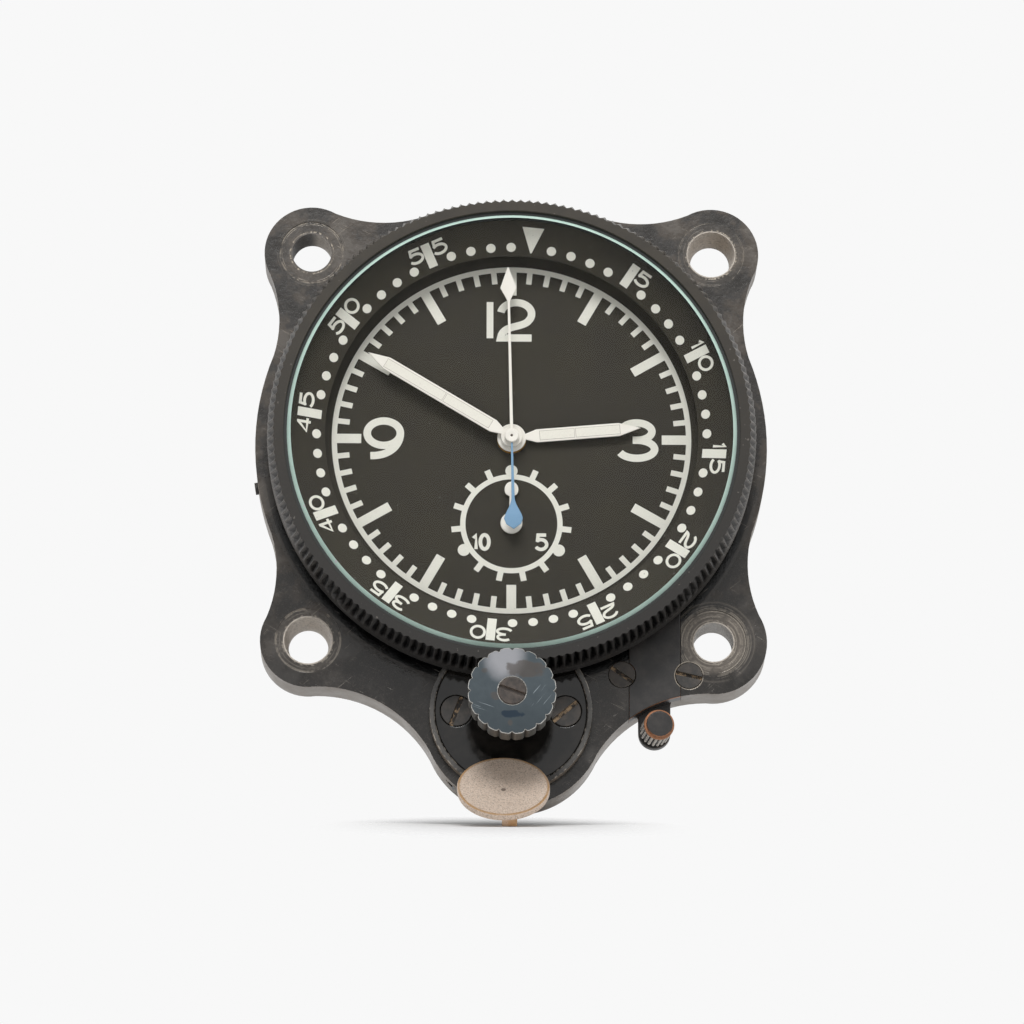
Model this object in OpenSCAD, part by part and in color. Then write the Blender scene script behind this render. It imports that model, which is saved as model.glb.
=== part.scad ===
// Panel-mounted aircraft chronograph clock with a turning count-down bezel.
// Modelled lying on its back: x right, y up the dial, z out of the dial; stand() sets it upright.
// z = 0 is the rear face of the flange, which seats on the instrument panel.

/* [Case] */
// Radius of the round rim
rim_r = 40; // [39:0.1:42]
// Thickness of the flange
flange_t = 6.5; // [6.3:0.1:7.5]
// Spacing of the panel holes
hole_pitch = 62.9; // [62:0.1:64]
// Diameter of the panel holes
hole_d = 6.2; // [4:0.1:6.6]
// Mouth diameter of the two eased panel holes
hole_mouth_d = 7.4; // [6.8:0.1:8]
// Radius of the corner lobes
lobe_r = 7.45; // [7:0.05:8.5]
// Radius of the corner lobe beside the setting slot
slot_lobe_r = 8.3; // [7.5:0.05:8.6]
// Fillet between rim and corner lobes
lobe_fillet = 20; // [12:0.5:22]
// Radius of the spot faces around the panel holes
spot_r = 5.1; // [4.5:0.1:6]
// Depth of the spot faces
spot_deep = 0.12; // [0.1:0.02:0.3]
// Distance from dial axis down to the centre of the bottom lobe
lobe_drop = 43.7; // [43.2:0.1:44.5]
// Radius of the bottom lobe
boss_lobe_r = 14; // [13.5:0.1:14.5]
// Offset of the bottom lobe to the right of the dial axis
lobe_x = 0.5; // [0:0.1:0.8]
// Fillet between bottom lobe and lower corner lobes
boss_fillet = 20; // [17:0.5:24]
// Radius of the can behind the panel
can_r = 38; // [37.6:0.1:38.6]
// Wall of the can
can_wall = 2; // [1.8:0.1:2.4]
// Depth of the can behind the panel
can_depth = 15.4; // [14:0.1:18]
// Wall of the cup in the rear cover that houses the rear of the movement
cup_wall = 1.6; // [1.4:0.1:2]
// Room between the movement and the inside of the cup
cup_gap = 1; // [0.6:0.1:2]
// Thickness of the rear cover
cover_t = 2; // [1.5:0.1:3]
// Thickness of the rear gasket
gasket_t = 0.6; // [0.4:0.1:1]
// Radius of the collar that carries the bezel
collar_r = 35; // [34.8:0.1:35.2]
// Height of the collar above the flange
collar_h = 3.2; // [3:0.1:3.6]
// Radius of the opening around the dial
dial_bore_r = 31.5; // [31.2:0.1:31.8]
// Width of the ledge that the movement is screwed to
ledge_w = 4.5; // [4.3:0.1:4.7]

/* [Winding boss] */
// Distance from dial axis down to the winding axis
boss_drop = 43; // [42.4:0.1:43.6]
// Outer radius of the raised boss ring
boss_r = 12.6; // [12.3:0.1:13]
// Height of the boss ring above the flange
boss_h = 2.1; // [1.9:0.1:2.6]
// Radius of the boss cap
cap_r = 11.7; // [11.5:0.1:11.9]
// Thickness of the boss cap
cap_t = 1.5; // [1.2:0.1:1.6]
// Distance of the cap screws from the winding axis
cap_screw_x = 8.4; // [8.3:0.1:8.8]
// Head radius of the cap screws
cap_screw_r = 2.4; // [2:0.1:2.5]
// Radius of the winding knob
knob_r = 6.75; // [6.2:0.05:7.2]
// Thickness of the winding knob
knob_t = 5; // [3.5:0.1:5.5]
// Number of coin-edge flutes on the knob
knob_flutes = 20; // [16:1:30]

/* [Bezel] */
// Outer radius over the bezel teeth
bezel_r = 38; // [37.4:0.1:38.6]
// Number of bezel teeth
bezel_teeth = 176; // [120:4:200]
// Depth of the bezel teeth
bezel_tooth = 0.55; // [0.3:0.05:0.7]
// Height of the bezel front above the flange
bezel_h = 9.9; // [9.2:0.1:10.4]
// Height of the toothed band
bezel_band = 5; // [4.2:0.1:5.9]
// Radius of the crystal
crystal_r = 34.9; // [34.7:0.05:35.1]
// Thickness of the crystal
crystal_t = 2.45; // [2:0.05:2.6]
// Inner radius of the minute ring
ring_bore_r = 29; // [28.5:0.1:30]
// Thickness of the minute ring
ring_t = 0.7; // [0.5:0.1:0.8]
// Rise of the minute ring from its bore to its shoulder
ring_rise = 2.35; // [2:0.05:2.45]

/* [Dial and hands] */
// Gap between the dial and the opening around it
dial_gap = 1.3; // [0.9:0.1:1.5]
// Thickness of the dial
dial_t = 0.6; // [0.4:0.05:0.8]
// Height of the dial face above the flange front
dial_rise = 0.5; // [0.4:0.05:0.8]
// Distance from dial axis down to the minute register
register_drop = 13.6; // [13.4:0.05:13.8]
// Length of the minute hand
minute_len = 26.2; // [22:0.1:27.5]
// Length of the hour hand
hour_len = 20.2; // [16:0.1:22]
// Width of the hour and minute hands
hand_w = 2.2; // [1.6:0.1:2.6]
// Reach of the sweep hand
sweep_len = 27.4; // [22:0.1:28]
// Reach of the sweep hand's tail
tail_len = 15; // [12:0.1:17]
// Length of the register hand
register_len = 6.8; // [4.5:0.1:7.2]
// Minutes past the hour shown
shown_minute = 50.2; // [0:0.1:60]
// Hour shown
shown_hour = 2; // [0:1:11]

/* [Thumb paddle] */
// Radius of the paddle disc
paddle_r = 7.1; // [6.5:0.1:7.4]
// Thickness of the paddle disc
paddle_t = 1.2; // [1:0.1:1.6]
// Lean of the paddle face above straight ahead
paddle_lean = 39; // [33:1:40]
// Width of the paddle arm
arm_w = 2.3; // [1.8:0.1:2.5]

/* [Setting slide] */
// Distance of the slide from the dial axis, sideways
slide_x = 22.3; // [21.9:0.1:22.6]
// Width of the slide
slide_w = 5; // [4.4:0.1:5.2]
// Thickness of the slide
slide_t = 1.4; // [1:0.1:1.5]
// Lowest point of the slide below the dial axis
slide_low = 47.8; // [47.5:0.1:49]
// Radius of the slide's knob
slide_knob_r = 2.35; // [2:0.05:2.5]
// Reach of the slide's knob in front of the slide
slide_knob_h = 6.2; // [5:0.1:7]
// Lean of the slide's knob to the right
slide_knob_lean = 6; // [0:0.5:8]
// Width of the slot cover
slot_cover_w = 8; // [7.4:0.1:8.2]

/* [Movement] */
// Thickness of the main plate
main_t = 2.5; // [2.2:0.1:2.7]
// Distance between main plate and rear plate
plate_gap = 18.5; // [18:0.1:20]
// Thickness of the rear plate
rear_t = 2.5; // [2:0.1:3]
// Radius of the rear plate
rear_r = 30.5; // [30:0.1:31.5]
// Radius of the plate pillars
pillar_r = 1.5; // [1.2:0.1:1.8]
// Leaves of the going-train pinions
pinion_leaves = 8; // [7:1:9]
// Tooth module of the winding wheels
wind_m = 0.5; // [0.48:0.01:0.52]
// Angle of the barrel seen from the dial axis
barrel_a = 205; // [203:1:206]
// Distance of the barrel from the dial axis
barrel_d = 16; // [15.9:0.1:16.3]
// Radius of the balance wheel
balance_r = 5.9; // [5:0.1:6.1]

/* [Hidden] */
$fn = 72;

// clearances
eps = 1;
run_gap = 0.08;
slip_gap = 0.3;
tooth_slack = 0.1;
tangent_bite = 0.05;

// case levels
lobe_d = hole_pitch * sqrt(0.5);
boss_c = [0, -boss_drop];
lobe_c = [lobe_x, -lobe_drop];
main_front = flange_t - 2;
main_rear = main_front - main_t;
rear_front = main_rear - plate_gap;
rear_back = rear_front - rear_t;
can_in_r = can_r - can_wall;
plate_seat_r = dial_bore_r + ledge_w;
plate_seat_z = main_rear - 1.3;
main_r = plate_seat_r - slip_gap;
collar_top = flange_t + collar_h;
case_back = -can_depth;
lip_len = 5;
lip_wall = 2;
rear_screw_z = case_back + lip_len / 2;
boss_top = flange_t + boss_h;
cap_floor = boss_top - slip_gap - cap_t;
cap_top = cap_floor + cap_t;

// bezel levels
bezel_foot = flange_t + 0.5;
bezel_front = flange_t + bezel_h;
bezel_edge = 2.1;
lip_slope = 0.3;
band_foot = bezel_front - bezel_edge - bezel_band;
neck_r = bezel_r - 1;
lip_r = bezel_r - bezel_tooth - 0.1;
shelf_z = collar_top + slip_gap;
shelf_t = 0.9;
shelf_r = crystal_r - 1.2;
seat_r = crystal_r + 0.45;
ring_floor = shelf_z + shelf_t;
ring_lip = ring_floor + 0.4;
ring_top = ring_lip + ring_rise;
ring_shoulder_r = crystal_r - 0.6;
gasket_floor_t = 0.2;
crystal_floor = ring_top + gasket_floor_t;
crystal_bevel = 0.55;
snap_z = flange_t + 1.4;
snap_t = 0.8;
snap_in = collar_r - 0.5;
snap_out = collar_r + 0.5;
snap_split = 24;

// dial and hand levels
dial_r = dial_bore_r - dial_gap;
dial_front = flange_t + dial_rise;
dial_rear = dial_front - dial_t;
dial_hole_r = 2.3;
foot_r = 1.2;
foot_pin_r = 0.7;
foot_len = 1.6;
foot_d = dial_r - 3.2;
foot_angles = [20, 100, 215];
register_c = [0, -register_drop];
hour_z = dial_front + 1.05;
minute_z = dial_front + 2.05;
sweep_z = dial_front + 3.05;
register_z = dial_front + 0.45;
hand_t = 0.4;
hub_r = 2.2;
minute_a = -shown_minute * 6;
hour_a = -(shown_hour + shown_minute / 60) * 30;

// winding train, all on the front of the main plate
wind_z = main_front + 0.25;
wind_t = 1;
wind_top = wind_z + wind_t;
stem_teeth = 24;
idler_a_teeth = 24;
ratchet_teeth = 32;
stem_r = 1.5;
stem_low = 1.2;
knob_back = bezel_front + 0.4;
knob_front = knob_back + knob_t;
pocket_r = gear_tip(stem_teeth, wind_m) + 0.4;
pocket_floor = main_front - 0.1;
window_w = 2 * gear_tip(idler_a_teeth, wind_m) + 1;
post_lift = 0.08;
post_head_t = 0.25;
window_top = wind_top + post_lift + post_head_t + run_gap;
post_r = 1;
small_post_r = 0.65;
post_head = 0.6;

// gear train sizes
barrel_teeth = 84;
barrel_m = 0.3;
inter_leaves = 14;
inter_teeth = 48;
inter_m = 0.3;
centre_leaves = 12;
centre_teeth = 64;
centre_m = 0.24;
third_teeth = 60;
third_m = 0.24;
fourth_teeth = 64;
fourth_m = 0.22;
escape_teeth = 15;
escape_r = 3.4;
cannon_teeth = 12;
cannon_m = 0.25;
minute_teeth = 36;
minute_leaves = 10;
hour_teeth = 40;
hour_m = 0.24;
runner_leaves = 10;
runner_m = 0.22;
chrono_teeth = 50;
chrono_leaves = 12;
chrono_m = 0.3;
register_teeth = 36;
rotor_teeth = 60;
rotor_m = 0.18;
wheel_t = 0.7;
pivot_r = 0.5;
arbor_r = 0.8;
runner_r = 0.6;
tube_r = 0.95;
cannon_pipe_r = tube_r + run_gap + 0.24;
hour_pipe_r = cannon_pipe_r + run_gap + 0.4;
pivot_gap = 0.3;

// train levels
barrel_low = rear_front + 3.5;
barrel_top = main_rear - 3.6;
barrel_gear_z = barrel_top - 1.6;
barrel_gear_t = 1.4;
drum_r = 11.6;
drum_in_r = 10.8;
drum_floor_t = 0.9;
inter_z = main_rear - 2.6;
centre_z = rear_front + 1.5;
third_z = rear_front + 6.5;
fourth_z = rear_front + 11;
escape_z = rear_front + 8.2;
balance_z = rear_front + 12.2;
spring_z = balance_z + 2;
runner_pinion_z = rear_back - 2;
rotor_z = rear_back - 3.6;
chrono_pinion_z = rear_back - 7.2;
register_wheel_z = rear_back - 6.7;
bridge_z = rear_back - 10;
bridge_t = 1.6;
bridge_head_t = 1;
cup_in_r = rear_r + cup_gap;
cup_floor = bridge_z - bridge_t - bridge_head_t - cup_gap;
bridge_legs = [9.6, -register_drop - 8.8];

// train places
barrel_c = barrel_d * [cos(barrel_a), sin(barrel_a)];
inter_c = meet([0, 0], mesh_d(inter_teeth, centre_leaves, inter_m), barrel_c,
    mesh_d(barrel_teeth, inter_leaves, barrel_m), -1);
third_dir = -20;
third_c = mesh_d(centre_teeth, pinion_leaves, centre_m) * [cos(third_dir), sin(third_dir)];
fourth_dir = -55;
fourth_c = third_c + mesh_d(third_teeth, pinion_leaves, third_m) * [cos(fourth_dir), sin(fourth_dir)];
escape_dir = 55;
escape_c = fourth_c + mesh_d(fourth_teeth, pinion_leaves, fourth_m) * [cos(escape_dir), sin(escape_dir)];
pallet_dir = 100;
pallet_d = 4.6;
pallet_c = escape_c + pallet_d * [cos(pallet_dir), sin(pallet_dir)];
balance_dir = 95;
balance_d = 7;
balance_c = pallet_c + balance_d * [cos(balance_dir), sin(balance_dir)];
idler_a_c = boss_c + [0, mesh_d(stem_teeth, idler_a_teeth, wind_m)];
// just enough teeth to bridge from the first idler to the ratchet wheel
idler_b_teeth = ceil(norm(barrel_c - idler_a_c) / wind_m - (idler_a_teeth + ratchet_teeth) / 2 + 0.3);
idler_b_c = meet(idler_a_c, mesh_d(idler_a_teeth, idler_b_teeth, wind_m), barrel_c,
    mesh_d(idler_b_teeth, ratchet_teeth, wind_m), 1);
minute_dir = 40;
minute_c = mesh_d(cannon_teeth, minute_teeth, cannon_m) * [cos(minute_dir), sin(minute_dir)];
chrono_c = meet([0, 0], mesh_d(runner_leaves, chrono_teeth, runner_m), register_c,
    mesh_d(chrono_leaves, register_teeth, chrono_m), 1);
click_dir = 150;
click_d = 11.6;
click_c = barrel_c + click_d * [cos(click_dir), sin(click_dir)];
click_tip = barrel_c + (gear_tip(ratchet_teeth, wind_m) + 0.5) * [cos(116), sin(116)];
pillar_d = 28.3;
pillar_angles = [60, 140, 262, 325];
movement_screw_r = 0.9;
movement_head_r = 1.7;
movement_screw_d = dial_bore_r + movement_head_r + 0.05;
movement_angles = [0, 120, 240];
cover_angles = [90, 210, 330];
side_screw_a = 189;
side_seat_r = max(rim_r, can_r);

// gear phases, each wheel set to the one that drives it
stem_ph = 90;
idler_a_ph = mesh_ph(boss_c, stem_ph, stem_teeth, idler_a_c, idler_a_teeth);
idler_b_ph = mesh_ph(idler_a_c, idler_a_ph, idler_a_teeth, idler_b_c, idler_b_teeth);
ratchet_ph = mesh_ph(idler_b_c, idler_b_ph, idler_b_teeth, barrel_c, ratchet_teeth);
inter_pinion_ph = mesh_ph(barrel_c, 0, barrel_teeth, inter_c, inter_leaves);
centre_pinion_ph = mesh_ph(inter_c, 0, inter_teeth, [0, 0], centre_leaves);
third_pinion_ph = mesh_ph([0, 0], 0, centre_teeth, third_c, pinion_leaves);
fourth_pinion_ph = mesh_ph(third_c, 0, third_teeth, fourth_c, pinion_leaves);
escape_pinion_ph = mesh_ph(fourth_c, 0, fourth_teeth, escape_c, pinion_leaves);
minute_wheel_ph = mesh_ph([0, 0], 0, cannon_teeth, minute_c, minute_teeth);
hour_wheel_ph = mesh_ph(minute_c, 0, minute_leaves, [0, 0], hour_teeth);
chrono_wheel_ph = mesh_ph([0, 0], 0, runner_leaves, chrono_c, chrono_teeth);
register_wheel_ph = mesh_ph(chrono_c, 0, chrono_leaves, register_c, register_teeth);

// paddle places, as [up, forward] pairs
arm_x = -0.3;
paddle_x = -1.2;
paddle_c = [-lobe_drop - 12.6, flange_t + 8.3];
paddle_n = [sin(paddle_lean), cos(paddle_lean)];
paddle_u = [-cos(paddle_lean), sin(paddle_lean)];
arm_t = 1.3;
arm_pivot = [-lobe_drop - 10, 4];
arm_pin_r = 0.75;
arm_eye_r = 1.7;
tab_in = 0.4;
arm_slot_w = arm_w + 0.7;
pin_len = 14;

// setting slide places
slide_z = 2.4;
slide_gap = 1.1;
slide_top_y = -sqrt(pow(main_r + slide_gap, 2) - pow(slide_x - slide_w / 2, 2));
cover_in_r = max(neck_r + 0.1, main_r + slip_gap);
cover_bed = slide_z + slide_t + 0.1;
slide_knob_y = -slide_low + slide_w / 2;
slide_shank_r = 0.8;
slot_screw_y = -sqrt(pow(main_r + 4.83, 2) - pow(slide_x - 5.1, 2));
slot_screw_at = [[slide_x - 5.1, slot_screw_y], [slide_x + 5.3, slot_screw_y - 0.1]];
slot_shank_r = 1;
slot_screw_r = 2.05;
slot_screw_t = 1.1;

function meet(p, rp, q, rq, side) =
    let (d = norm(q - p))
    let (a = (rp * rp - rq * rq + d * d) / (2 * d))
    let (h = sqrt(max(0, rp * rp - a * a)))
    let (u = (q - p) / d)
    p + u * a + [-u.y, u.x] * h * side;
function mesh_d(za, zb, m) = (za + zb) * m / 2;
function gear_tip(z, m) = z * m / 2 + 0.65 * m;
function gear_root(z, m) = z * m / 2 - 0.95 * m;
function bearing(p, q) = atan2(q.y - p.y, q.x - p.x);
function mesh_ph(p, ph, zp, q, zq) =
    let (th = bearing(p, q))
    th + 180 - 360 / zq * ((ph - th) * zp / 360 + 0.5);
function involute(a) = tan(a) * 180 / PI - a;
function half_tooth(r, z, m) =
    let (rp = z * m / 2)
    let (rb = rp * cos(25))
    90 / z - tooth_slack * 90 / (PI * rp) + involute(25) - (r <= rb ? 0 : involute(acos(rb / r)));
function polar(r, a) = r * [cos(a), sin(a)];

module stand() {
    rotate([90, 0, 0]) children();
}

// turned disc or rod between two levels
module rod(r, low, high) {
    translate([0, 0, low]) cylinder(r = r, h = high - low);
}

module at(p) {
    translate([p.x, p.y, 0]) children();
}

module gear2d(z, m, ph) {
    radii = [gear_root(z, m), max(gear_root(z, m) + 0.02, z * m / 2 * cos(25)), z * m / 2, gear_tip(z, m)];
    polygon([
        for (i = [0 : z - 1]) for (k = [0 : 7])
            let (r = radii[k < 4 ? k : 7 - k])
            polar(r, ph + 360 * i / z + (k < 4 ? -1 : 1) * half_tooth(r, z, m))
    ]);
}

module gear(z, m, ph, low, t) {
    translate([0, 0, low]) linear_extrude(t) gear2d(z, m, ph);
}

// toothed wheel with spoke windows between hub and rim
module wheel(z, m, ph, low, t, hub, spokes) {
    rim_in = gear_root(z, m) - 3 * m;
    spoke = 2.4 * m;
    difference() {
        gear(z, m, ph, low, t);
        difference() {
            rod(rim_in, low - eps, low + t + eps);
            rod(hub, low - 2 * eps, low + t + 2 * eps);
            for (i = [0 : spokes - 1])
                rotate(360 * i / spokes)
                    translate([0, -spoke / 2, low - 2 * eps])
                        cube([rim_in + eps, spoke, t + 4 * eps]);
        }
    }
}

// arbor with a pivot at each end, held between two plate faces
module arbor(r, low, high) {
    rod(r, low + pivot_gap, high - pivot_gap);
    rod(pivot_r, low - 2, high + 2);
}

// slotted screw, head up, standing on its seat at z = 0
module screw(head_r, head_t, shank_r, shank_len, slot_a) {
    difference() {
        rod(head_r, 0, head_t);
        rotate(slot_a)
            translate([-head_r - eps, -head_r * 0.14, head_t * 0.55])
                cube([2 * head_r + 2 * eps, head_r * 0.28, head_t]);
    }
    rod(shank_r, -shank_len, 0.01);
}

module web(p, rp, q, rq, f, side) {
    c = meet(p, rp + f - tangent_bite, q, rq + f - tangent_bite, side);
    difference() {
        polygon([p, c, q]);
        translate(c) circle(f);
    }
}

// radius of the corner lobe at an angle
function corner_r(a) = a == 315 ? slot_lobe_r : lobe_r;

// outline of the flange with its four corner lobes and bottom lobe
module outline() {
    circle(rim_r);
    for (a = [45 : 90 : 315]) {
        translate(polar(lobe_d, a)) circle(corner_r(a));
        for (s = [-1, 1]) web([0, 0], rim_r, polar(lobe_d, a), corner_r(a), lobe_fillet, s);
    }
    translate(lobe_c) circle(boss_lobe_r);
    for (a = [225, 315]) {
        web(lobe_c, boss_lobe_r, polar(lobe_d, a), corner_r(a), boss_fillet, sign(270 - a));
        polygon([[0, 0], lobe_c, polar(lobe_d, a)]);
    }
}

module slot_cover2d(gap) {
    difference() {
        intersection() {
            outline();
            translate([slide_x - slot_cover_w / 2 - gap, -60]) square([slot_cover_w + 2 * gap, 58]);
        }
        circle(cover_in_r - gap);
    }
}

// space swept by the foot of the bezel above the flange
module bezel_sweep() {
    rod(neck_r + slip_gap, flange_t, boss_top + eps);
}

module arm_slot() {
    translate([arm_x - arm_slot_w / 2, arm_pivot.x - 6, 1.2])
        cube([arm_slot_w, 9, 20]);
}

module panel_holes() {
    for (a = [45 : 90 : 315])
        at(polar(lobe_d, a)) rod(hole_d / 2, -eps, flange_t + eps);
    for (a = [45, 225])
        at(polar(lobe_d, a))
            translate([0, 0, flange_t * 0.25])
                cylinder(r1 = hole_d / 2 - 0.02, r2 = hole_mouth_d / 2, h = flange_t * 0.75 + 0.01);
}

module case_body() {
    color("#2b2826")
    stand()
    difference() {
        union() {
            linear_extrude(flange_t) outline();
            rod(can_r, case_back, flange_t / 2);
            rod(collar_r, flange_t / 2, collar_top);
            difference() {
                at(boss_c) rod(boss_r, flange_t / 2, boss_top);
                bezel_sweep();
            }
        }
        for (a = [135, 225, 315])
            at(polar(lobe_d, a)) rod(spot_r, flange_t - spot_deep, flange_t + eps);
        rod(can_in_r, case_back - eps, plate_seat_z + 0.1);
        rod(plate_seat_r, plate_seat_z, main_front);
        rod(dial_bore_r, main_front - eps, collar_top + eps);
        panel_holes();
        difference() {
            rod(collar_r + 0.2, snap_z, snap_z + snap_t);
            rod(snap_in, snap_z - eps, snap_z + snap_t + eps);
        }
        at(boss_c) {
            difference() {
                rod(cap_r + 0.05, cap_floor, boss_top + eps);
                at(-boss_c) rod(neck_r + slip_gap, 0, cap_floor + 2 * eps);
            }
            difference() {
                rod(pocket_r, pocket_floor, cap_floor + 0.1);
                at(-boss_c) rod(neck_r + slip_gap, window_top, cap_floor + 2 * eps);
            }
            rod(stem_r + run_gap, stem_low - 0.2, pocket_floor + eps);
            for (s = [-1, 1])
                translate([s * cap_screw_x, 0, 0]) rod(1.1, 1.5, cap_floor + eps);
        }
        translate([-window_w / 2, -boss_drop + pocket_r * 0.5, pocket_floor])
            cube([window_w, boss_drop - pocket_r * 0.5 - dial_bore_r * 0.8, window_top - pocket_floor]);
        at(idler_b_c) rod(gear_tip(idler_b_teeth, wind_m) + slip_gap, pocket_floor, window_top);
        arm_slot();
        translate([-boss_lobe_r - eps, arm_pivot.x, arm_pivot.y])
            rotate([0, 90, 0])
                cylinder(r = arm_pin_r, h = boss_lobe_r + eps + pin_len / 2);
        translate([0, 0, cover_bed]) linear_extrude(flange_t) slot_cover2d(0.05);
        translate([slide_x - slide_w / 2 - 0.1, -70, slide_z - 0.1])
            cube([slide_w + 0.2, 70 + slide_top_y + 0.4, slide_t + 0.3]);
        for (p = slot_screw_at)
            at(p) {
                rod(slot_screw_r + 0.1, flange_t - slot_screw_t, flange_t + eps);
                rod(slot_shank_r, 1.6, flange_t);
            }
        rotate(side_screw_a)
            translate([0, 0, main_rear + main_t / 2])
                rotate([0, 90, 0]) cylinder(r = 0.9, h = side_seat_r + 3);
        for (a = movement_angles)
            at(polar(movement_screw_d, a)) rod(movement_screw_r, main_front - eps, main_front + 3);
        for (a = cover_angles)
            rotate(a)
                translate([0, 0, rear_screw_z])
                    rotate([0, 90, 0]) {
                        cylinder(r = 0.9, h = can_r + 1);
                        translate([0, 0, can_r - 1.1]) cylinder(r = 1.75, h = 3);
                    }
    }
}

module rear_cover() {
    color("#2f2c2a")
    stand()
    difference() {
        union() {
            rod(can_r, case_back - gasket_t - cover_t, case_back - gasket_t);
            rod(can_in_r - 0.05, case_back - gasket_t - 0.5, case_back + lip_len);
            rod(cup_in_r + cup_wall, cup_floor - cover_t, case_back - gasket_t);
        }
        rod(can_in_r - 0.05 - lip_wall, case_back - gasket_t, case_back + lip_len + eps);
        rod(cup_in_r, cup_floor, case_back);
        for (a = cover_angles)
            rotate(a)
                translate([0, 0, rear_screw_z])
                    rotate([0, 90, 0]) cylinder(r = 0.9, h = can_r);
    }
}

module rear_gasket() {
    color("#1c1b1a")
    stand()
    difference() {
        rod(can_r, case_back - gasket_t, case_back);
        rod(can_in_r - 0.05, case_back - gasket_t - eps, case_back + eps);
    }
}

module rear_cover_screws() {
    color("#8d8a84")
    stand()
    for (a = cover_angles)
        rotate(a)
            translate([can_r - 1.1, 0, rear_screw_z])
                rotate([0, 90, 0]) screw(1.7, 0.9, 0.9, 2.6, 0);
}

module boss_cap() {
    color("#282625")
    stand()
    difference() {
        at(boss_c) rod(cap_r, cap_floor, cap_top);
        at(boss_c) rod(stem_r + run_gap, cap_floor - eps, cap_top + eps);
        for (s = [-1, 1])
            at(boss_c + [s * cap_screw_x, 0]) {
                rod(1.2, cap_floor - eps, cap_top + eps);
                rod(cap_screw_r + 0.1, cap_top - 0.8, cap_top + eps);
            }
        rod(neck_r + slip_gap + 0.1, 0, boss_top + eps);
        arm_slot();
    }
}

module boss_cap_screws() {
    color("#4a4744")
    stand()
    for (s = [-1, 1])
        at(boss_c + [s * cap_screw_x, 0])
            translate([0, 0, cap_top - 0.8]) screw(cap_screw_r, 0.9, 1.1, 3, s < 0 ? 69 : 40);
}

module slot_cover() {
    color("#2c2927")
    stand()
    difference() {
        translate([0, 0, cover_bed]) linear_extrude(flange_t - cover_bed) slot_cover2d(0);
        for (p = slot_screw_at)
            at(p) {
                rod(slot_screw_r + 0.1, flange_t - slot_screw_t, flange_t + eps);
                rod(slot_shank_r + 0.05, cover_bed - eps, flange_t);
            }
    }
}

module slot_cover_screws() {
    color("#4a4744")
    stand()
    for (p = slot_screw_at)
        at(p)
            translate([0, 0, flange_t - slot_screw_t])
                screw(slot_screw_r, slot_screw_t + 0.05, slot_shank_r, 3, p.x < slide_x ? -35 : -13);
}

module side_screw() {
    color("#5a5550")
    stand()
    rotate(side_screw_a)
        translate([side_seat_r, 0, main_rear + main_t / 2])
            rotate([0, 90, 0]) screw(0.95, 0.5, 0.9, side_seat_r - main_r, 30);
}

module bezel_snap_ring() {
    color("#77736d")
    stand()
    translate([0, 0, snap_z])
        rotate(snap_split / 2)
            rotate_extrude(angle = 360 - snap_split)
                translate([snap_in, 0]) square([snap_out - snap_in, snap_t]);
}

module bezel_ring() {
    color("#3b3835")
    stand()
    difference() {
        union() {
            translate([0, 0, band_foot])
                linear_extrude(bezel_band)
                    polygon([
                        for (i = [0 : 2 * bezel_teeth - 1])
                            polar(i % 2 == 0 ? bezel_r : bezel_r - bezel_tooth, 180 * i / bezel_teeth)
                    ]);
            rod(neck_r, bezel_foot, band_foot + 0.5);
            translate([0, 0, bezel_front - bezel_edge])
                cylinder(r1 = lip_r, r2 = lip_r - lip_slope, h = bezel_edge);
        }
        rod(collar_r + run_gap, bezel_foot - eps, shelf_z);
        rod(snap_out + 0.1, snap_z - 0.15, snap_z + snap_t + 0.15);
        rod(shelf_r, shelf_z - eps, ring_floor + eps);
        rod(seat_r, ring_floor, bezel_front + eps);
    }
}

module minute_ring() {
    color("#2a2a2a")
    stand()
    rotate_extrude()
        polygon([
            [seat_r, ring_floor],
            [seat_r, ring_top],
            [ring_shoulder_r, ring_top],
            [ring_bore_r, ring_lip],
            [ring_bore_r, ring_lip - ring_t / 2],
            [shelf_r + 0.2, ring_top - ring_t],
            [shelf_r + 0.2, ring_floor]
        ]);
}

module crystal_gasket() {
    color("#161616")
    stand()
    difference() {
        rod(seat_r, ring_top, crystal_floor + crystal_t - 0.4);
        rod(crystal_r - 0.5, ring_top - eps, crystal_floor + eps);
        rod(crystal_r, crystal_floor, crystal_floor + crystal_t);
    }
}

module crystal() {
    color("#dfeee6", 0.3)
    stand() {
        rod(crystal_r, crystal_floor, crystal_floor + crystal_t - crystal_bevel);
        translate([0, 0, crystal_floor + crystal_t - crystal_bevel])
            cylinder(r1 = crystal_r, r2 = crystal_r - crystal_bevel, h = crystal_bevel);
    }
}

module dial() {
    color("#3a3937")
    stand() {
        difference() {
            rod(dial_r, dial_rear, dial_front);
            rod(dial_hole_r, dial_rear - eps, dial_front + eps);
            at(register_c) rod(0.9, dial_rear - eps, dial_front + eps);
        }
        for (a = foot_angles)
            at(polar(foot_d, a)) {
                rod(foot_r, main_front, dial_rear + 0.1);
                rod(foot_pin_r, main_front - foot_len, main_front + 0.1);
            }
    }
}

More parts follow.
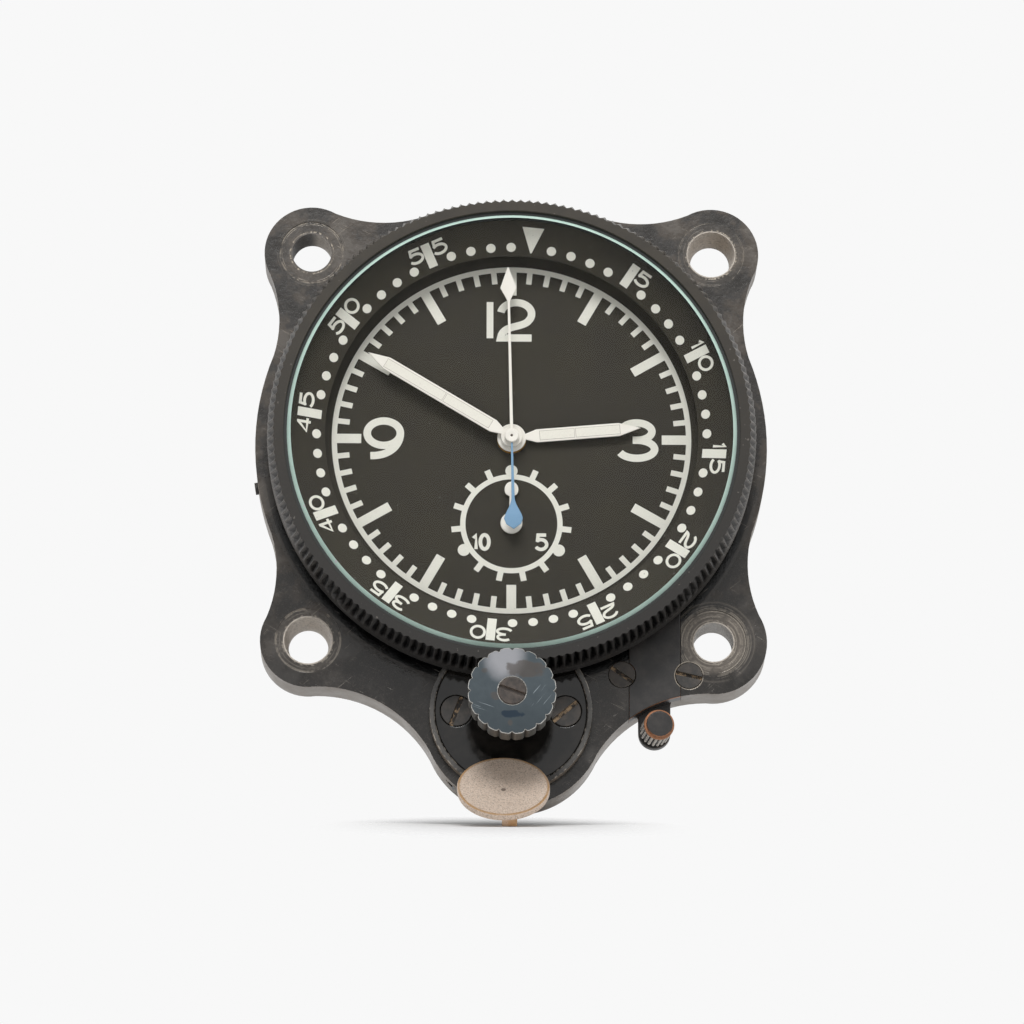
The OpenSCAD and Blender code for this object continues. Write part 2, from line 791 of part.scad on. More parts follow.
module winding_knob() {
    color("#7d838b")
    stand()
    at(boss_c)
    difference() {
        union() {
            translate([0, 0, knob_back + 0.5])
                linear_extrude(knob_t - 1)
                    polygon([
                        for (i = [0 : knob_flutes - 1]) for (k = [0 : 5])
                            polar(knob_r - [0.4, 0.2, 0, 0, 0.2, 0.4][k],
                                (i + [0.05, 0.12, 0.22, 0.78, 0.88, 0.95][k]) * 360 / knob_flutes)
                    ]);
            translate([0, 0, knob_front - 0.5])
                cylinder(r1 = knob_r - 0.4, r2 = knob_r - 0.8, h = 0.5);
            translate([0, 0, knob_back])
                cylinder(r1 = knob_r - 0.8, r2 = knob_r - 0.4, h = 0.5);
            rod(stem_r + 1.4, cap_top + slip_gap, knob_back + 1);
        }
        rod(stem_r, cap_top - eps, knob_front - 1.6);
        rod(1, knob_front - 2, knob_front + eps);
        rod(2.15, knob_front - 0.9, knob_front + eps);
    }
}

module knob_screw() {
    color("#6f6a63")
    stand()
    at(boss_c)
        translate([0, 0, knob_front - 0.9]) screw(2.1, 1, 1, 3.2, -20);
}

module winding_stem() {
    color("#8a8d90")
    stand()
    at(boss_c)
    difference() {
        union() {
            rod(stem_r, stem_low, knob_front - 1.6);
            rod(stem_r + 0.7, pocket_floor + 0.1, wind_z);
        }
        rod(1, knob_front - 4.1, knob_front);
    }
}

module stem_wheel() {
    color("#b08d4a")
    stand()
    at(boss_c)
    difference() {
        gear(stem_teeth, wind_m, stem_ph, wind_z, wind_t);
        rod(stem_r, wind_z - eps, wind_top + eps);
    }
}

module winding_idler(p, z, ph) {
    stand()
    at(p)
    difference() {
        wheel(z, wind_m, ph, wind_z, wind_t, post_r + 1.6, 4);
        rod(post_r + run_gap, wind_z - eps, wind_top + eps);
    }
}

module winding_idler_a() {
    color("#b3914e") winding_idler(idler_a_c, idler_a_teeth, idler_a_ph);
}

module winding_idler_b() {
    color("#b3914e") winding_idler(idler_b_c, idler_b_teeth, idler_b_ph);
}

module ratchet_wheel() {
    color("#9a9da0")
    stand()
    at(barrel_c)
    difference() {
        gear(ratchet_teeth, wind_m, ratchet_ph, wind_z, wind_t);
        rod(1.4, wind_z - eps, wind_top + eps);
    }
}

module barrel_arbor() {
    color("#8f9296")
    stand()
    at(barrel_c) {
        rod(1.4, rear_back + 0.3, wind_top + 0.1);
        rod(2.6, barrel_low + 0.9 + 0.2, barrel_top - drum_floor_t - 0.2);
        rod(2.1, rear_front + pivot_gap, barrel_low - 0.2);
        rod(2.1, barrel_top + 0.2, main_rear - pivot_gap);
        rod(2.1, main_front + 0.1, wind_z);
    }
}

// shouldered stud riveted into the main plate, with a head that keeps its wheel on
module post(p, r) {
    at(p) {
        rod(r, main_front - 1.5, wind_top + 0.1);
        rod(r + post_head, main_front, wind_z - 0.1);
        rod(r + post_head, wind_top + post_lift, wind_top + post_lift + post_head_t);
    }
}

module wheel_posts() {
    color("#8f9296")
    stand() {
        for (p = [idler_a_c, idler_b_c]) post(p, post_r);
        for (p = [minute_c, click_c]) post(p, small_post_r);
    }
}

module click() {
    color("#84888c")
    stand() {
        side = [-(click_tip - click_c).y, (click_tip - click_c).x] / norm(click_tip - click_c);
        difference() {
            union() {
                at(click_c) rod(1.8, wind_z, wind_top);
                translate([0, 0, wind_z])
                    linear_extrude(wind_t)
                        polygon([
                            click_c + side * 1.4, click_c - side * 0.6, click_tip, click_tip + side * 1.1
                        ]);
            }
            at(click_c) rod(small_post_r + run_gap, wind_z - eps, wind_top + eps);
        }
    }
}

// arm of the paddle: its side profile is drawn as [up, forward] points
module paddle_arm() {
    color("#b5ac9c")
    stand() {
        top = paddle_c - paddle_n * paddle_t;
        translate([arm_x - arm_w / 2, 0, 0])
            rotate([90, 0, 90])
                difference() {
                    union() {
                        translate(arm_pivot) cylinder(r = arm_eye_r, h = arm_w);
                        linear_extrude(arm_w)
                            polygon([
                                arm_pivot + [1.3, 0.4],
                                arm_pivot + [-1.3, -0.4],
                                top - paddle_n * arm_t - paddle_u * 2.4,
                                top - paddle_n * arm_t + paddle_u * (paddle_r - tab_in),
                                top + paddle_u * (paddle_r - tab_in),
                                top - paddle_u * 4.2
                            ]);
                    }
                    translate([arm_pivot.x, arm_pivot.y, -eps])
                        cylinder(r = arm_pin_r + run_gap, h = arm_w + 2 * eps);
                }
    }
}

module paddle_disc() {
    color("#c9beae")
    stand()
    translate([paddle_x, paddle_c.x, paddle_c.y])
        rotate([-paddle_lean, 0, 0])
            difference() {
                rod(paddle_r, -paddle_t, 0);
                translate([0, 0, -0.55]) cylinder(r1 = 0.3, r2 = paddle_r - 0.5, h = 0.56);
            }
}

module paddle_pin() {
    color("#8f8f8c")
    stand()
    translate([-boss_lobe_r * 0.64, arm_pivot.x, arm_pivot.y])
        rotate([0, 90, 0])
            cylinder(r = arm_pin_r, h = boss_lobe_r * 0.64 + pin_len / 2);
}

module setting_slide() {
    color("#4b4844")
    stand()
    translate([slide_x, 0, slide_z])
    difference() {
        union() {
            translate([-slide_w / 2, slide_knob_y, 0]) cube([slide_w, slide_top_y - slide_knob_y, slide_t]);
            translate([0, slide_knob_y, 0]) cylinder(r = slide_w / 2, h = slide_t);
        }
        translate([0, slide_knob_y, -eps]) cylinder(r = slide_shank_r, h = slide_t + 2 * eps);
    }
}

module slide_knob() {
    color("#6b4f3c")
    stand()
    translate([slide_x, slide_knob_y, slide_z]) {
        cylinder(r = slide_shank_r, h = slide_t + 0.5);
        translate([0, 0, slide_t]) cylinder(r = slide_knob_r - 0.5, h = 0.7);
        translate([0, 0, slide_t + 0.3])
            rotate([0, slide_knob_lean, 0]) {
                translate([0, 0, 0.6])
                    linear_extrude(slide_knob_h - 1.4)
                        polygon([
                            for (i = [0 : 39])
                                polar(slide_knob_r - (i % 2) * 0.22, 360 * i / 40)
                        ]);
                translate([0, 0, slide_knob_h - 0.8])
                    cylinder(r1 = slide_knob_r - 0.3, r2 = slide_knob_r - 0.5, h = 0.5);
            }
    }
}

module main_plate() {
    color("#b59a5e")
    stand()
    difference() {
        rod(main_r, main_rear, main_front);
        plate_bores(main_rear, main_front);
        for (a = foot_angles) at(polar(foot_d, a)) rod(foot_pin_r, main_rear - eps, main_front + eps);
        for (p = [idler_a_c, idler_b_c]) at(p) rod(post_r, main_front - 1.5, main_front + eps);
        for (p = [minute_c, click_c]) at(p) rod(small_post_r, main_front - 1.5, main_front + eps);
        for (a = movement_angles)
            at(polar(movement_screw_d, a)) rod(movement_screw_r + 0.05, main_rear - eps, main_front + eps);
    }
}

// bearing holes that the two plates share
module plate_bores(low, high) {
    for (p = [inter_c, third_c, fourth_c, escape_c, pallet_c, balance_c])
        at(p) rod(pivot_r + run_gap, low - eps, high + eps);
    rod(tube_r + run_gap, low - eps, high + eps);
    at(register_c) rod(pivot_r + 0.35, low - eps, high + eps);
    at(barrel_c) rod(1.4 + run_gap, low - eps, high + eps);
}

module movement_screws() {
    color("#5f6166")
    stand()
    for (a = movement_angles)
        at(polar(movement_screw_d, a))
            translate([0, 0, main_rear])
                rotate([180, 0, 0]) screw(movement_head_r, 1, movement_screw_r, main_t + 2.6, 40);
}

module plate_pillars() {
    color("#b59a5e")
    stand()
    for (a = pillar_angles)
        at(polar(pillar_d, a)) rod(pillar_r, rear_front, main_rear);
}

module rear_plate() {
    color("#b89d62")
    stand()
    difference() {
        rod(rear_r, rear_back, rear_front);
        plate_bores(rear_back, rear_front);
        at(chrono_c) rod(pivot_r + run_gap, rear_back - eps, rear_front - 0.4);
        for (a = pillar_angles) at(polar(pillar_d, a)) rod(0.8, rear_back - eps, rear_front + eps);
        for (y = bridge_legs) at([0, y]) rod(0.8, rear_back - eps, rear_front - 0.5);
    }
}

module rear_plate_screws() {
    color("#5f6166")
    stand()
    for (a = pillar_angles)
        at(polar(pillar_d, a))
            translate([0, 0, rear_back]) rotate([180, 0, 0]) screw(1.6, 1, 0.8, rear_t, 20);
}

module barrel_drum() {
    color("#c0a050")
    stand()
    at(barrel_c)
    difference() {
        union() {
            gear(barrel_teeth, barrel_m, 0, barrel_gear_z, barrel_gear_t);
            rod(drum_r, barrel_low, barrel_top);
        }
        rod(drum_in_r, barrel_low - eps, barrel_top - drum_floor_t);
        rod(1.4 + run_gap, barrel_low, barrel_top + eps);
    }
}

module barrel_lid() {
    color("#c4a658")
    stand()
    at(barrel_c)
    difference() {
        rod(drum_in_r, barrel_low, barrel_low + 0.9);
        rod(1.4 + run_gap, barrel_low - eps, barrel_low + 0.9 + eps);
    }
}

// coil of strip steel between two radii, as one flat spiral outline
module coil2d(r_in, r_out, turns, t, steps) {
    n = turns * steps;
    polygon(concat(
        [for (i = [0 : n]) polar(r_in + (r_out - r_in) * i / n, 360 * i / steps)],
        [for (i = [n : -1 : 0]) polar(r_in + (r_out - r_in) * i / n + t, 360 * i / steps)]
    ));
}

module mainspring() {
    color("#6d7278")
    stand()
    at(barrel_c)
        translate([0, 0, barrel_low + 0.9])
            linear_extrude(barrel_top - barrel_low - drum_floor_t - 0.9)
                coil2d(3.2, drum_in_r - 0.6, 8, 0.35, 24);
}

module intermediate_wheel() {
    color("#bfa15a")
    stand()
    at(inter_c) {
        wheel(inter_teeth, inter_m, 0, inter_z, wheel_t, 2.6, 4);
        gear(inter_leaves, barrel_m, inter_pinion_ph, barrel_gear_z - 0.4, barrel_gear_t + 0.8);
        arbor(arbor_r, rear_front, main_rear);
        rod(1.3, barrel_gear_z + barrel_gear_t, inter_z + 0.1);
    }
}

module centre_wheel() {
    color("#bfa15a")
    stand()
    difference() {
        union() {
            wheel(centre_teeth, centre_m, 0, centre_z, wheel_t, 2.4, 5);
            gear(centre_leaves, inter_m, centre_pinion_ph, inter_z - 0.5, wheel_t + 1);
            rod(tube_r, rear_back + 0.4, minute_z - 0.2);
            rod(1.5, rear_front + pivot_gap, centre_z + wheel_t + 0.6);
            rod(1.45, inter_z + wheel_t + 0.4, main_rear - pivot_gap);
        }
        rod(runner_r + run_gap, rear_back - eps, minute_z + eps);
    }
}

module train_wheel(p, z, m, low, pinion_m, pinion_ph, pinion_low, pinion_h) {
    stand()
    at(p) {
        wheel(z, m, 0, low, wheel_t, 2, 5);
        gear(pinion_leaves, pinion_m, pinion_ph, pinion_low, pinion_h);
        arbor(0.6, rear_front, main_rear);
        rod(1.1, low - 0.5, low + wheel_t + 0.5);
    }
}

module third_wheel() {
    color("#bfa15a")
        train_wheel(third_c, third_teeth, third_m, third_z, centre_m, third_pinion_ph,
            centre_z - 0.6, wheel_t + 1.2);
}

module fourth_wheel() {
    color("#bfa15a")
        train_wheel(fourth_c, fourth_teeth, fourth_m, fourth_z, third_m, fourth_pinion_ph,
            third_z - 0.6, wheel_t + 1.2);
}

module escape_wheel() {
    color("#a9adb0")
    stand()
    at(escape_c) {
        difference() {
            translate([0, 0, escape_z])
                linear_extrude(wheel_t)
                    polygon([
                        for (i = [0 : escape_teeth - 1]) for (k = [0 : 3])
                            polar([escape_r - 1, escape_r, escape_r, escape_r - 1][k],
                                (i + [0, 0.3, 0.44, 0.4][k]) * 360 / escape_teeth)
                    ]);
            for (i = [0 : 3])
                rotate(45 + 90 * i)
                    translate([1.5, 0, 0]) rod(0.45, escape_z - eps, escape_z + wheel_t + eps);
        }
        gear(pinion_leaves, fourth_m, escape_pinion_ph, fourth_z - 0.6, wheel_t + 1.2);
        arbor(0.5, rear_front, main_rear);
    }
}

module pallet_fork() {
    color("#9da1a5")
    stand()
    at(pallet_c) {
        translate([0, 0, escape_z])
            linear_extrude(wheel_t) {
                rotate(pallet_dir + 180) {
                    polygon([[-0.7, 0.5], [-0.7, -0.5], [1, -3.3], [1.9, -3.6], [2.1, -2.9], [0.3, 0]]);
                    polygon([[-0.7, -0.5], [-0.7, 0.5], [1, 3.3], [1.9, 3.6], [2.1, 2.9], [0.3, 0]]);
                }
                rotate(balance_dir)
                    polygon([
                        [0, -0.4], [balance_d - 3, -0.3], [balance_d - 2.2, -0.7], [balance_d - 1.7, -0.65],
                        [balance_d - 2.2, 0], [balance_d - 1.7, 0.65], [balance_d - 2.2, 0.7],
                        [balance_d - 3, 0.3], [0, 0.4]
                    ]);
            }
        rod(0.9, escape_z - 0.4, escape_z + wheel_t + 0.4);
        arbor(0.5, rear_front, main_rear);
    }
}

module balance_wheel() {
    color("#c6ac68")
    stand()
    at(balance_c) {
        difference() {
            rod(balance_r, balance_z, balance_z + 0.8);
            difference() {
                rod(balance_r - 0.9, balance_z - eps, balance_z + 0.8 + eps);
                rod(1.3, balance_z - 2 * eps, balance_z + 3 * eps);
                for (i = [0 : 2])
                    rotate(120 * i)
                        translate([0, -0.5, balance_z - 2 * eps]) cube([balance_r, 1, 0.8 + 4 * eps]);
            }
        }
        rod(1.2, escape_z + wheel_t + 0.3, escape_z + wheel_t + 0.9);
        rod(0.9, spring_z - 0.2, spring_z + 0.8);
        arbor(0.6, rear_front, main_rear);
    }
}

module hairspring() {
    color("#5b6f8f")
    stand()
    at(balance_c) {
        translate([0, 0, spring_z]) linear_extrude(0.5) coil2d(1.05, 3.6, 6, 0.14, 24);
        translate([3.4, -0.62, spring_z - 0.2]) cube([0.6, 0.5, main_rear - spring_z + 0.2]);
    }
}

module cannon_pinion() {
    color("#8f9296")
    stand()
    difference() {
        union() {
            gear(cannon_teeth, cannon_m, 0, wind_z - 0.1, 0.6);
            rod(cannon_pipe_r, wind_z - 0.1, minute_z + hand_t);
        }
        rod(tube_r + run_gap, main_front, minute_z + hand_t + eps);
    }
}

module minute_wheel() {
    color("#bfa15a")
    stand()
    at(minute_c)
    difference() {
        union() {
            wheel(minute_teeth, cannon_m, minute_wheel_ph, wind_z, 0.4, 2, 4);
            gear(minute_leaves, hour_m, 0, wind_z + 0.3, wind_t - 0.3);
        }
        rod(small_post_r + run_gap, wind_z - eps, wind_top + eps);
    }
}

module hour_wheel() {
    color("#bfa15a")
    stand()
    difference() {
        union() {
            gear(hour_teeth, hour_m, hour_wheel_ph, wind_z + 0.6, 0.4);
            rod(hour_pipe_r, wind_z + 0.6, hour_z + hand_t);
        }
        rod(cannon_pipe_r + run_gap, wind_z, hour_z + hand_t + eps);
    }
}

// baton hand with a narrow neck and a pointed end, lying along +y
module baton_hand(len, z, bore) {
    translate([0, 0, z])
    difference() {
        union() {
            cylinder(r = hub_r, h = hand_t);
            linear_extrude(hand_t)
                polygon([
                    [-0.55, 0], [-0.55, len * 0.16], [-hand_w / 2, len * 0.16 + 1], [-hand_w / 2, len - 3.4],
                    [0, len], [hand_w / 2, len - 3.4], [hand_w / 2, len * 0.16 + 1], [0.55, len * 0.16],
                    [0.55, 0]
                ]);
        }
        translate([0, 0, -eps]) cylinder(r = bore, h = hand_t + 2 * eps);
    }
}

module hour_hand() {
    color("#e6dfcb") stand() rotate(hour_a) baton_hand(hour_len, hour_z, hour_pipe_r);
}

module minute_hand() {
    color("#e6dfcb") stand() rotate(minute_a) baton_hand(minute_len, minute_z, cannon_pipe_r);
}

module sweep_hand() {
    color("#dcd5c0")
    stand()
    rotate(1.3)
    difference() {
        union() {
            translate([0, 0, sweep_z])
                linear_extrude(hand_t * 0.75) {
                    polygon([
                        [-0.35, 0], [-0.28, sweep_len - 4.6], [-1.1, sweep_len - 2.8], [-0.16, sweep_len - 1],
                        [-0.08, sweep_len], [0.08, sweep_len], [0.16, sweep_len - 1], [1.1, sweep_len - 2.8],
                        [0.28, sweep_len - 4.6], [0.35, 0]
                    ]);
                    polygon([
                        [0.35, 0], [0.3, -tail_len + 5], [1.2, -tail_len + 2.4], [-1.2, -tail_len + 2.4],
                        [-0.3, -tail_len + 5], [-0.35, 0]
                    ]);
                    polygon([[1.2, -tail_len + 2.4], [0, -tail_len], [-1.2, -tail_len + 2.4]]);
                    translate([0, -tail_len + 1.9]) circle(1.38);
                }
            rod(1.3, sweep_z - 0.2, sweep_z + hand_t + 0.3);
        }
        rod(runner_r, sweep_z - eps, sweep_z + hand_t + eps);
    }
}

// heart-shaped reset cam as two overlapping rounds with a dip
module heart_cam(low) {
    translate([0, 0, low])
        linear_extrude(0.9)
            difference() {
                union() {
                    translate([0.55, 0.2]) circle(1.6);
                    translate([-0.55, 0.2]) circle(1.6);
                }
                translate([0, 2.3]) circle(0.9);
            }
}

module chrono_runner() {
    color("#a9adb0")
    stand() {
        wheel(rotor_teeth, rotor_m, 0, rotor_z, wheel_t, 2, 5);
        gear(runner_leaves, runner_m, 0, runner_pinion_z, 1.4);
        rod(runner_r, bridge_z - bridge_t + 0.3, sweep_z + hand_t + 0.2);
        rod(0.85, rotor_z - 0.6, runner_pinion_z + 0.1);
        heart_cam(rotor_z - 1.6);
    }
}

module chrono_wheel() {
    color("#bfa15a")
    stand()
    at(chrono_c) {
        wheel(chrono_teeth, runner_m, chrono_wheel_ph, runner_pinion_z + 0.3, wheel_t, 1.8, 4);
        gear(chrono_leaves, chrono_m, 0, chrono_pinion_z, 1.8);
        rod(0.7, bridge_z + pivot_gap, rear_back - pivot_gap);
        rod(pivot_r, bridge_z - bridge_t + 0.3, rear_front - 0.8);
    }
}

module register_wheel() {
    color("#bfa15a")
    stand()
    at(register_c) {
        wheel(register_teeth, chrono_m, register_wheel_ph, register_wheel_z, wheel_t, 1.8, 4);
        rod(pivot_r, bridge_z - bridge_t + 0.3, register_z + 0.4);
        rod(0.8, register_wheel_z - 1.6, rear_back - pivot_gap);
        heart_cam(register_wheel_z + 1.2);
    }
}

module register_hand() {
    color("#e6dfcb")
    stand()
    at(register_c)
    difference() {
        union() {
            rod(1.8, register_z, register_z + 0.4);
            translate([0, 0, register_z])
                linear_extrude(0.3) {
                    polygon([[-0.4, 0], [-0.3, register_len - 2.2], [0.3, register_len - 2.2], [0.4, 0]]);
                    translate([0, register_len - 1.5]) circle(1);
                    polygon([[-0.95, register_len - 1.2], [0, register_len], [0.95, register_len - 1.2]]);
                }
        }
        rod(pivot_r, register_z - eps, register_z + eps);
    }
}

module chrono_bridge() {
    color("#b89d62")
    stand()
    difference() {
        union() {
            translate([0, 0, bridge_z - bridge_t])
                linear_extrude(bridge_t) {
                    translate([-3.2, bridge_legs[1]]) square([6.4, bridge_legs[0] - bridge_legs[1]]);
                    for (y = bridge_legs) translate([0, y]) circle(3.2);
                }
            for (y = bridge_legs) at([0, y]) rod(2.2, bridge_z - 0.1, rear_back);
        }
        rod(runner_r + run_gap, bridge_z - bridge_t - eps, bridge_z + eps);
        for (p = [chrono_c, register_c])
            at(p) rod(pivot_r + run_gap, bridge_z - bridge_t - eps, bridge_z + eps);
        for (y = bridge_legs) at([0, y]) rod(0.8, bridge_z - bridge_t - eps, rear_back + eps);
    }
}

module chrono_bridge_screws() {
    color("#5f6166")
    stand()
    for (y = bridge_legs)
        at([0, y])
            translate([0, 0, bridge_z - bridge_t])
                rotate([180, 0, 0]) screw(1.5, bridge_head_t, 0.8, rear_back - bridge_z + bridge_t + 1.6, 35);
}

case_body();
rear_cover();
rear_gasket();
rear_cover_screws();
boss_cap();
boss_cap_screws();
slot_cover();
slot_cover_screws();
side_screw();
bezel_snap_ring();
bezel_ring();
minute_ring();
crystal_gasket();
crystal();
dial();
winding_knob();
knob_screw();
winding_stem();
stem_wheel();
winding_idler_a();
winding_idler_b();
ratchet_wheel();
barrel_arbor();
wheel_posts();
click();
paddle_arm();
paddle_disc();
paddle_pin();
setting_slide();
slide_knob();
main_plate();
movement_screws();
plate_pillars();
rear_plate();
rear_plate_screws();
barrel_drum();
barrel_lid();
mainspring();
intermediate_wheel();
centre_wheel();
third_wheel();
fourth_wheel();
escape_wheel();
pallet_fork();
balance_wheel();
hairspring();
cannon_pinion();
minute_wheel();
hour_wheel();
hour_hand();
minute_hand();
sweep_hand();
chrono_runner();
chrono_wheel();
register_wheel();
register_hand();
chrono_bridge();
chrono_bridge_screws();
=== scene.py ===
"""Looks of a panel-mounted aircraft clock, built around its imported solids."""

import math
from types import SimpleNamespace

import bmesh
import bpy
from bpy.props import FloatProperty, FloatVectorProperty, IntProperty, PointerProperty
from mathutils import Matrix, Vector


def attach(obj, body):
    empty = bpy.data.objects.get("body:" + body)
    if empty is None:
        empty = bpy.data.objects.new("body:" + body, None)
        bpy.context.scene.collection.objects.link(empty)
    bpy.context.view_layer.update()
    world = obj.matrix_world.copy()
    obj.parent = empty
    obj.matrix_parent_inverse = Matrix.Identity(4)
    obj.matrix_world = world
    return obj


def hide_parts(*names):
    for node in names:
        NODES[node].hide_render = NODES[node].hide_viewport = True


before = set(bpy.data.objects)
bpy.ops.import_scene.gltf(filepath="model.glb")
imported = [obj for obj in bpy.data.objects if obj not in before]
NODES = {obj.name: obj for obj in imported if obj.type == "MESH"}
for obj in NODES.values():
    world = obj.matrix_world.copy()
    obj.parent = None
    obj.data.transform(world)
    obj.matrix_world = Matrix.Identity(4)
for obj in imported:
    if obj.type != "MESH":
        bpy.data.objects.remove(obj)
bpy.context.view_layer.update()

bl_info = {
    "name": "Aircraft panel clock",
    "version": (1, 0, 0),
    "blender": (4, 5, 0),
    "location": "View3D > Sidebar > Clock",
    "description": "Dresses the solids of a panel-mounted aircraft clock",
    "category": "Object",
}

MM = 0.001
STAND = Matrix.Rotation(math.pi / 2, 4, "X") @ Matrix.Scale(MM, 4)

# how far each panel hole lies from the dial's axis, both across and up, in millimetres
HOLE_AT = 31.45
# places in millimetres, across and up, and for the paddle also its level
SLOT_SCREW_AT = (27.6, -36.8)
PADDLE_AT = (-1.2, -56.3, 14.8)
# slope of the floor in degrees, a little less than the camera's
FLOOR_SLOPE = 13.4


def length(name, text, mm):
    """A size that is kept in metres and written here in millimetres."""
    return FloatProperty(name=name, description=text, default=mm * MM, min=0, precision=5,
                         subtype="DISTANCE", unit="LENGTH")


def count(name, text, number, least):
    return IntProperty(name=name, description=text, default=number, min=least)


def angle(name, text, degrees):
    """An angle that is kept in radians and written here in degrees."""
    return FloatProperty(name=name, description=text, default=math.radians(degrees),
                         subtype="ANGLE", unit="ROTATION")


def colour(name, text, code):
    """A colour written as a web colour and kept as linear light."""
    return FloatVectorProperty(name=name, description=text, default=linear(code), min=0, max=1,
                               size=3, subtype="COLOR")


def linear(code):
    """Linear light of a web colour."""
    parts = [int(code[i:i + 2], 16) / 255 for i in (1, 3, 5)]
    return tuple(c / 12.92 if c <= 0.04045 else ((c + 0.055) / 1.055) ** 2.4 for c in parts)


class ClockSizes(bpy.types.PropertyGroup):
    """Sizes of the pieces that are added to the solids."""
    flange_front: length("Flange front", "Level of the flange's front face", 6.5)
    flange_round: length("Flange rounding", "Rounding of the flange's outline", 0.6)
    boss_front: length("Boss front", "Level of the boss ring's front face", 8.6)
    boss_drop: length("Winding axis", "Drop from the dial axis to the winding axis", 43.0)
    bezel_front: length("Bezel front", "Level of the bezel's front face", 16.4)
    bezel_r: length("Bezel radius", "Radius over the bezel's teeth", 38.0)
    bezel_tooth: length("Tooth depth", "Depth of the bezel's teeth", 0.62)
    bezel_bevel: length("Tooth bevel", "Width of the toothed bevel in front", 0.9)
    bezel_slope: length("Bevel depth", "How far back the toothed bevel reaches", 2.3)
    bezel_teeth: count("Teeth", "Number of bezel teeth", 176, 60)
    seat_r: length("Glass seat", "Radius of the bore that takes the glass", 35.35)
    glass_r: length("Glass radius", "Radius of the glass", 34.9)
    glass_rear: length("Glass rear", "Level of the rear of the glass", 13.85)
    glass_t: length("Glass thickness", "Thickness of the glass", 2.45)
    glass_bevel: length("Glass bevel", "Bevel round the front of the glass", 0.62)
    dial_front: length("Dial front", "Level of the dial's face", 7.0)
    ring_bore: length("Ring bore", "Radius of the sloping minute ring's bore", 29.0)
    ring_low: length("Ring lip", "Level of the minute ring at its bore", 11.3)
    ring_rise: length("Ring rise", "Rise of the minute ring to its shoulder", 2.35)
    ring_shoulder: length("Ring shoulder", "Radius of the minute ring's shoulder", 34.3)
    paint_t: length("Paint thickness", "How far the printed paint stands proud", 0.035)
    track_r: length("Track radius", "Outer radius of the minute track", 28.0)
    track_w: length("Track width", "Width of the minute track", 0.82)
    register_drop: length("Register drop", "Drop from the dial axis to the register", 13.6)
    register_r: length("Register radius", "Outer radius of the register's ring", 7.95)
    ring_turn: angle("Bezel turn", "How far the bezel's scale is turned clockwise", 5.7)
    hand_w: length("Hand width", "Width of the hour and minute hands", 2.1)
    minute_len: length("Minute hand", "Length of the minute hand", 26.2)
    hour_len: length("Hour hand", "Length of the hour hand", 20.2)
    sweep_len: length("Sweep hand", "Reach of the sweep hand", 27.4)
    tail_len: length("Sweep tail", "Reach of the sweep hand's tail", 15.0)
    register_len: length("Register hand", "Length of the register hand", 6.8)
    knob_r: length("Knob radius", "Radius of the winding knob", 6.75)
    knob_back: length("Knob back", "Level of the winding knob's back", 16.8)
    knob_t: length("Knob thickness", "Thickness of the winding knob", 5.0)
    knob_flutes: count("Flutes", "Flutes round the winding knob", 20, 8)
    paddle_r: length("Paddle radius", "Radius of the thumb paddle", 7.1)
    paddle_t: length("Paddle thickness", "Thickness of the thumb paddle", 1.2)
    paddle_dish: length("Paddle dish", "Depth of the paddle's dish", 0.66)
    paddle_lean: angle("Paddle lean", "How far the paddle's face leans up", 39)
    slide_x: length("Slide place", "Distance of the setting slide from the dial axis", 22.3)
    slide_front: length("Slide front", "Level of the setting slide's front face", 3.8)
    slide_knob_y: length("Slide knob drop", "Drop from the dial axis to the slide's knob", 45.3)
    slide_knob_r: length("Slide knob radius", "Radius of the slide's knob", 2.35)
    slide_knob_h: length("Slide knob reach", "Reach of the slide's knob", 6.2)
    slide_knob_lean: angle("Slide knob lean", "Lean of the slide's knob to the right", 6)


class ClockColours(bpy.types.PropertyGroup):
    """Colours of the finishes."""
    lacquer: colour("Lacquer", "Black lacquer of the case", "#181615")
    # brown that the case's lacquer turns to towards the top
    lacquer_aged: colour("Upper lacquer", "Brown lacquer of the case's upper part", "#3e352b")
    bare: colour("Bare metal", "Metal that shows where the lacquer is gone", "#c4b8a6")
    # painted light: light grey for the flange's lower sides, standing in for the pale floor's light
    # on them
    side: colour("Flange side", "Light grey sides of the flange, painted floor light", "#7e7163")
    bezel: colour("Bezel", "Satin black of the bezel", "#3d3830")
    dial: colour("Dial", "Matt black of the dial", "#2e2a1e")
    paint: colour("Printing", "Luminous paint of the printing", "#e9e8dc")
    cream: colour("Hands", "Cream paint of the hands", "#f4f0e6")
    lume: colour("Hand filling", "Luminous filling of the hands", "#f1eee2")
    blue: colour("Blued steel", "Blue of the sweep hand's tail", "#769dbd")
    glass_edge: colour("Glass edge", "Green of the ground glass edge", "#d3eee2")
    knob: colour("Knob", "Blue-grey of the winding knob", "#464f54")
    rust: colour("Rust", "Brown patches on the winding knob", "#41372f")
    nickel: colour("Nickel", "Blasted nickel of the paddle", "#d6c3b2")
    rim: colour("Paddle rim", "Worn rim of the paddle", "#b58a55")
    copper: colour("Copper", "Copper on the worn edges of the slide", "#a5714f")
    brass: colour("Brass", "Brass of the movement", "#c09a52")
    steel: colour("Steel", "Steel of the movement", "#a9abad")
    stage: colour("Stage", "Pale ground behind the clock", "#f8f8f8")


def sizes():
    """The sizes in millimetres, angles in degrees and counts as they are."""
    group = bpy.context.scene.clock_sizes
    read = {}
    for key, prop in group.bl_rna.properties.items():
        if prop.type == "FLOAT":
            value = getattr(group, key)
            read[key] = math.degrees(value) if prop.subtype == "ANGLE" else value / MM
        elif prop.type == "INT":
            read[key] = getattr(group, key)
    return SimpleNamespace(**read)


def slide_knob_foot(s):
    """Level at which the slide's knob starts."""
    return s.slide_front + 0.3


def shade(name):
    """A colour of the panel."""
    return tuple(getattr(bpy.context.scene.clock_colours, name))


def grey(value):
    return (value, value, value)


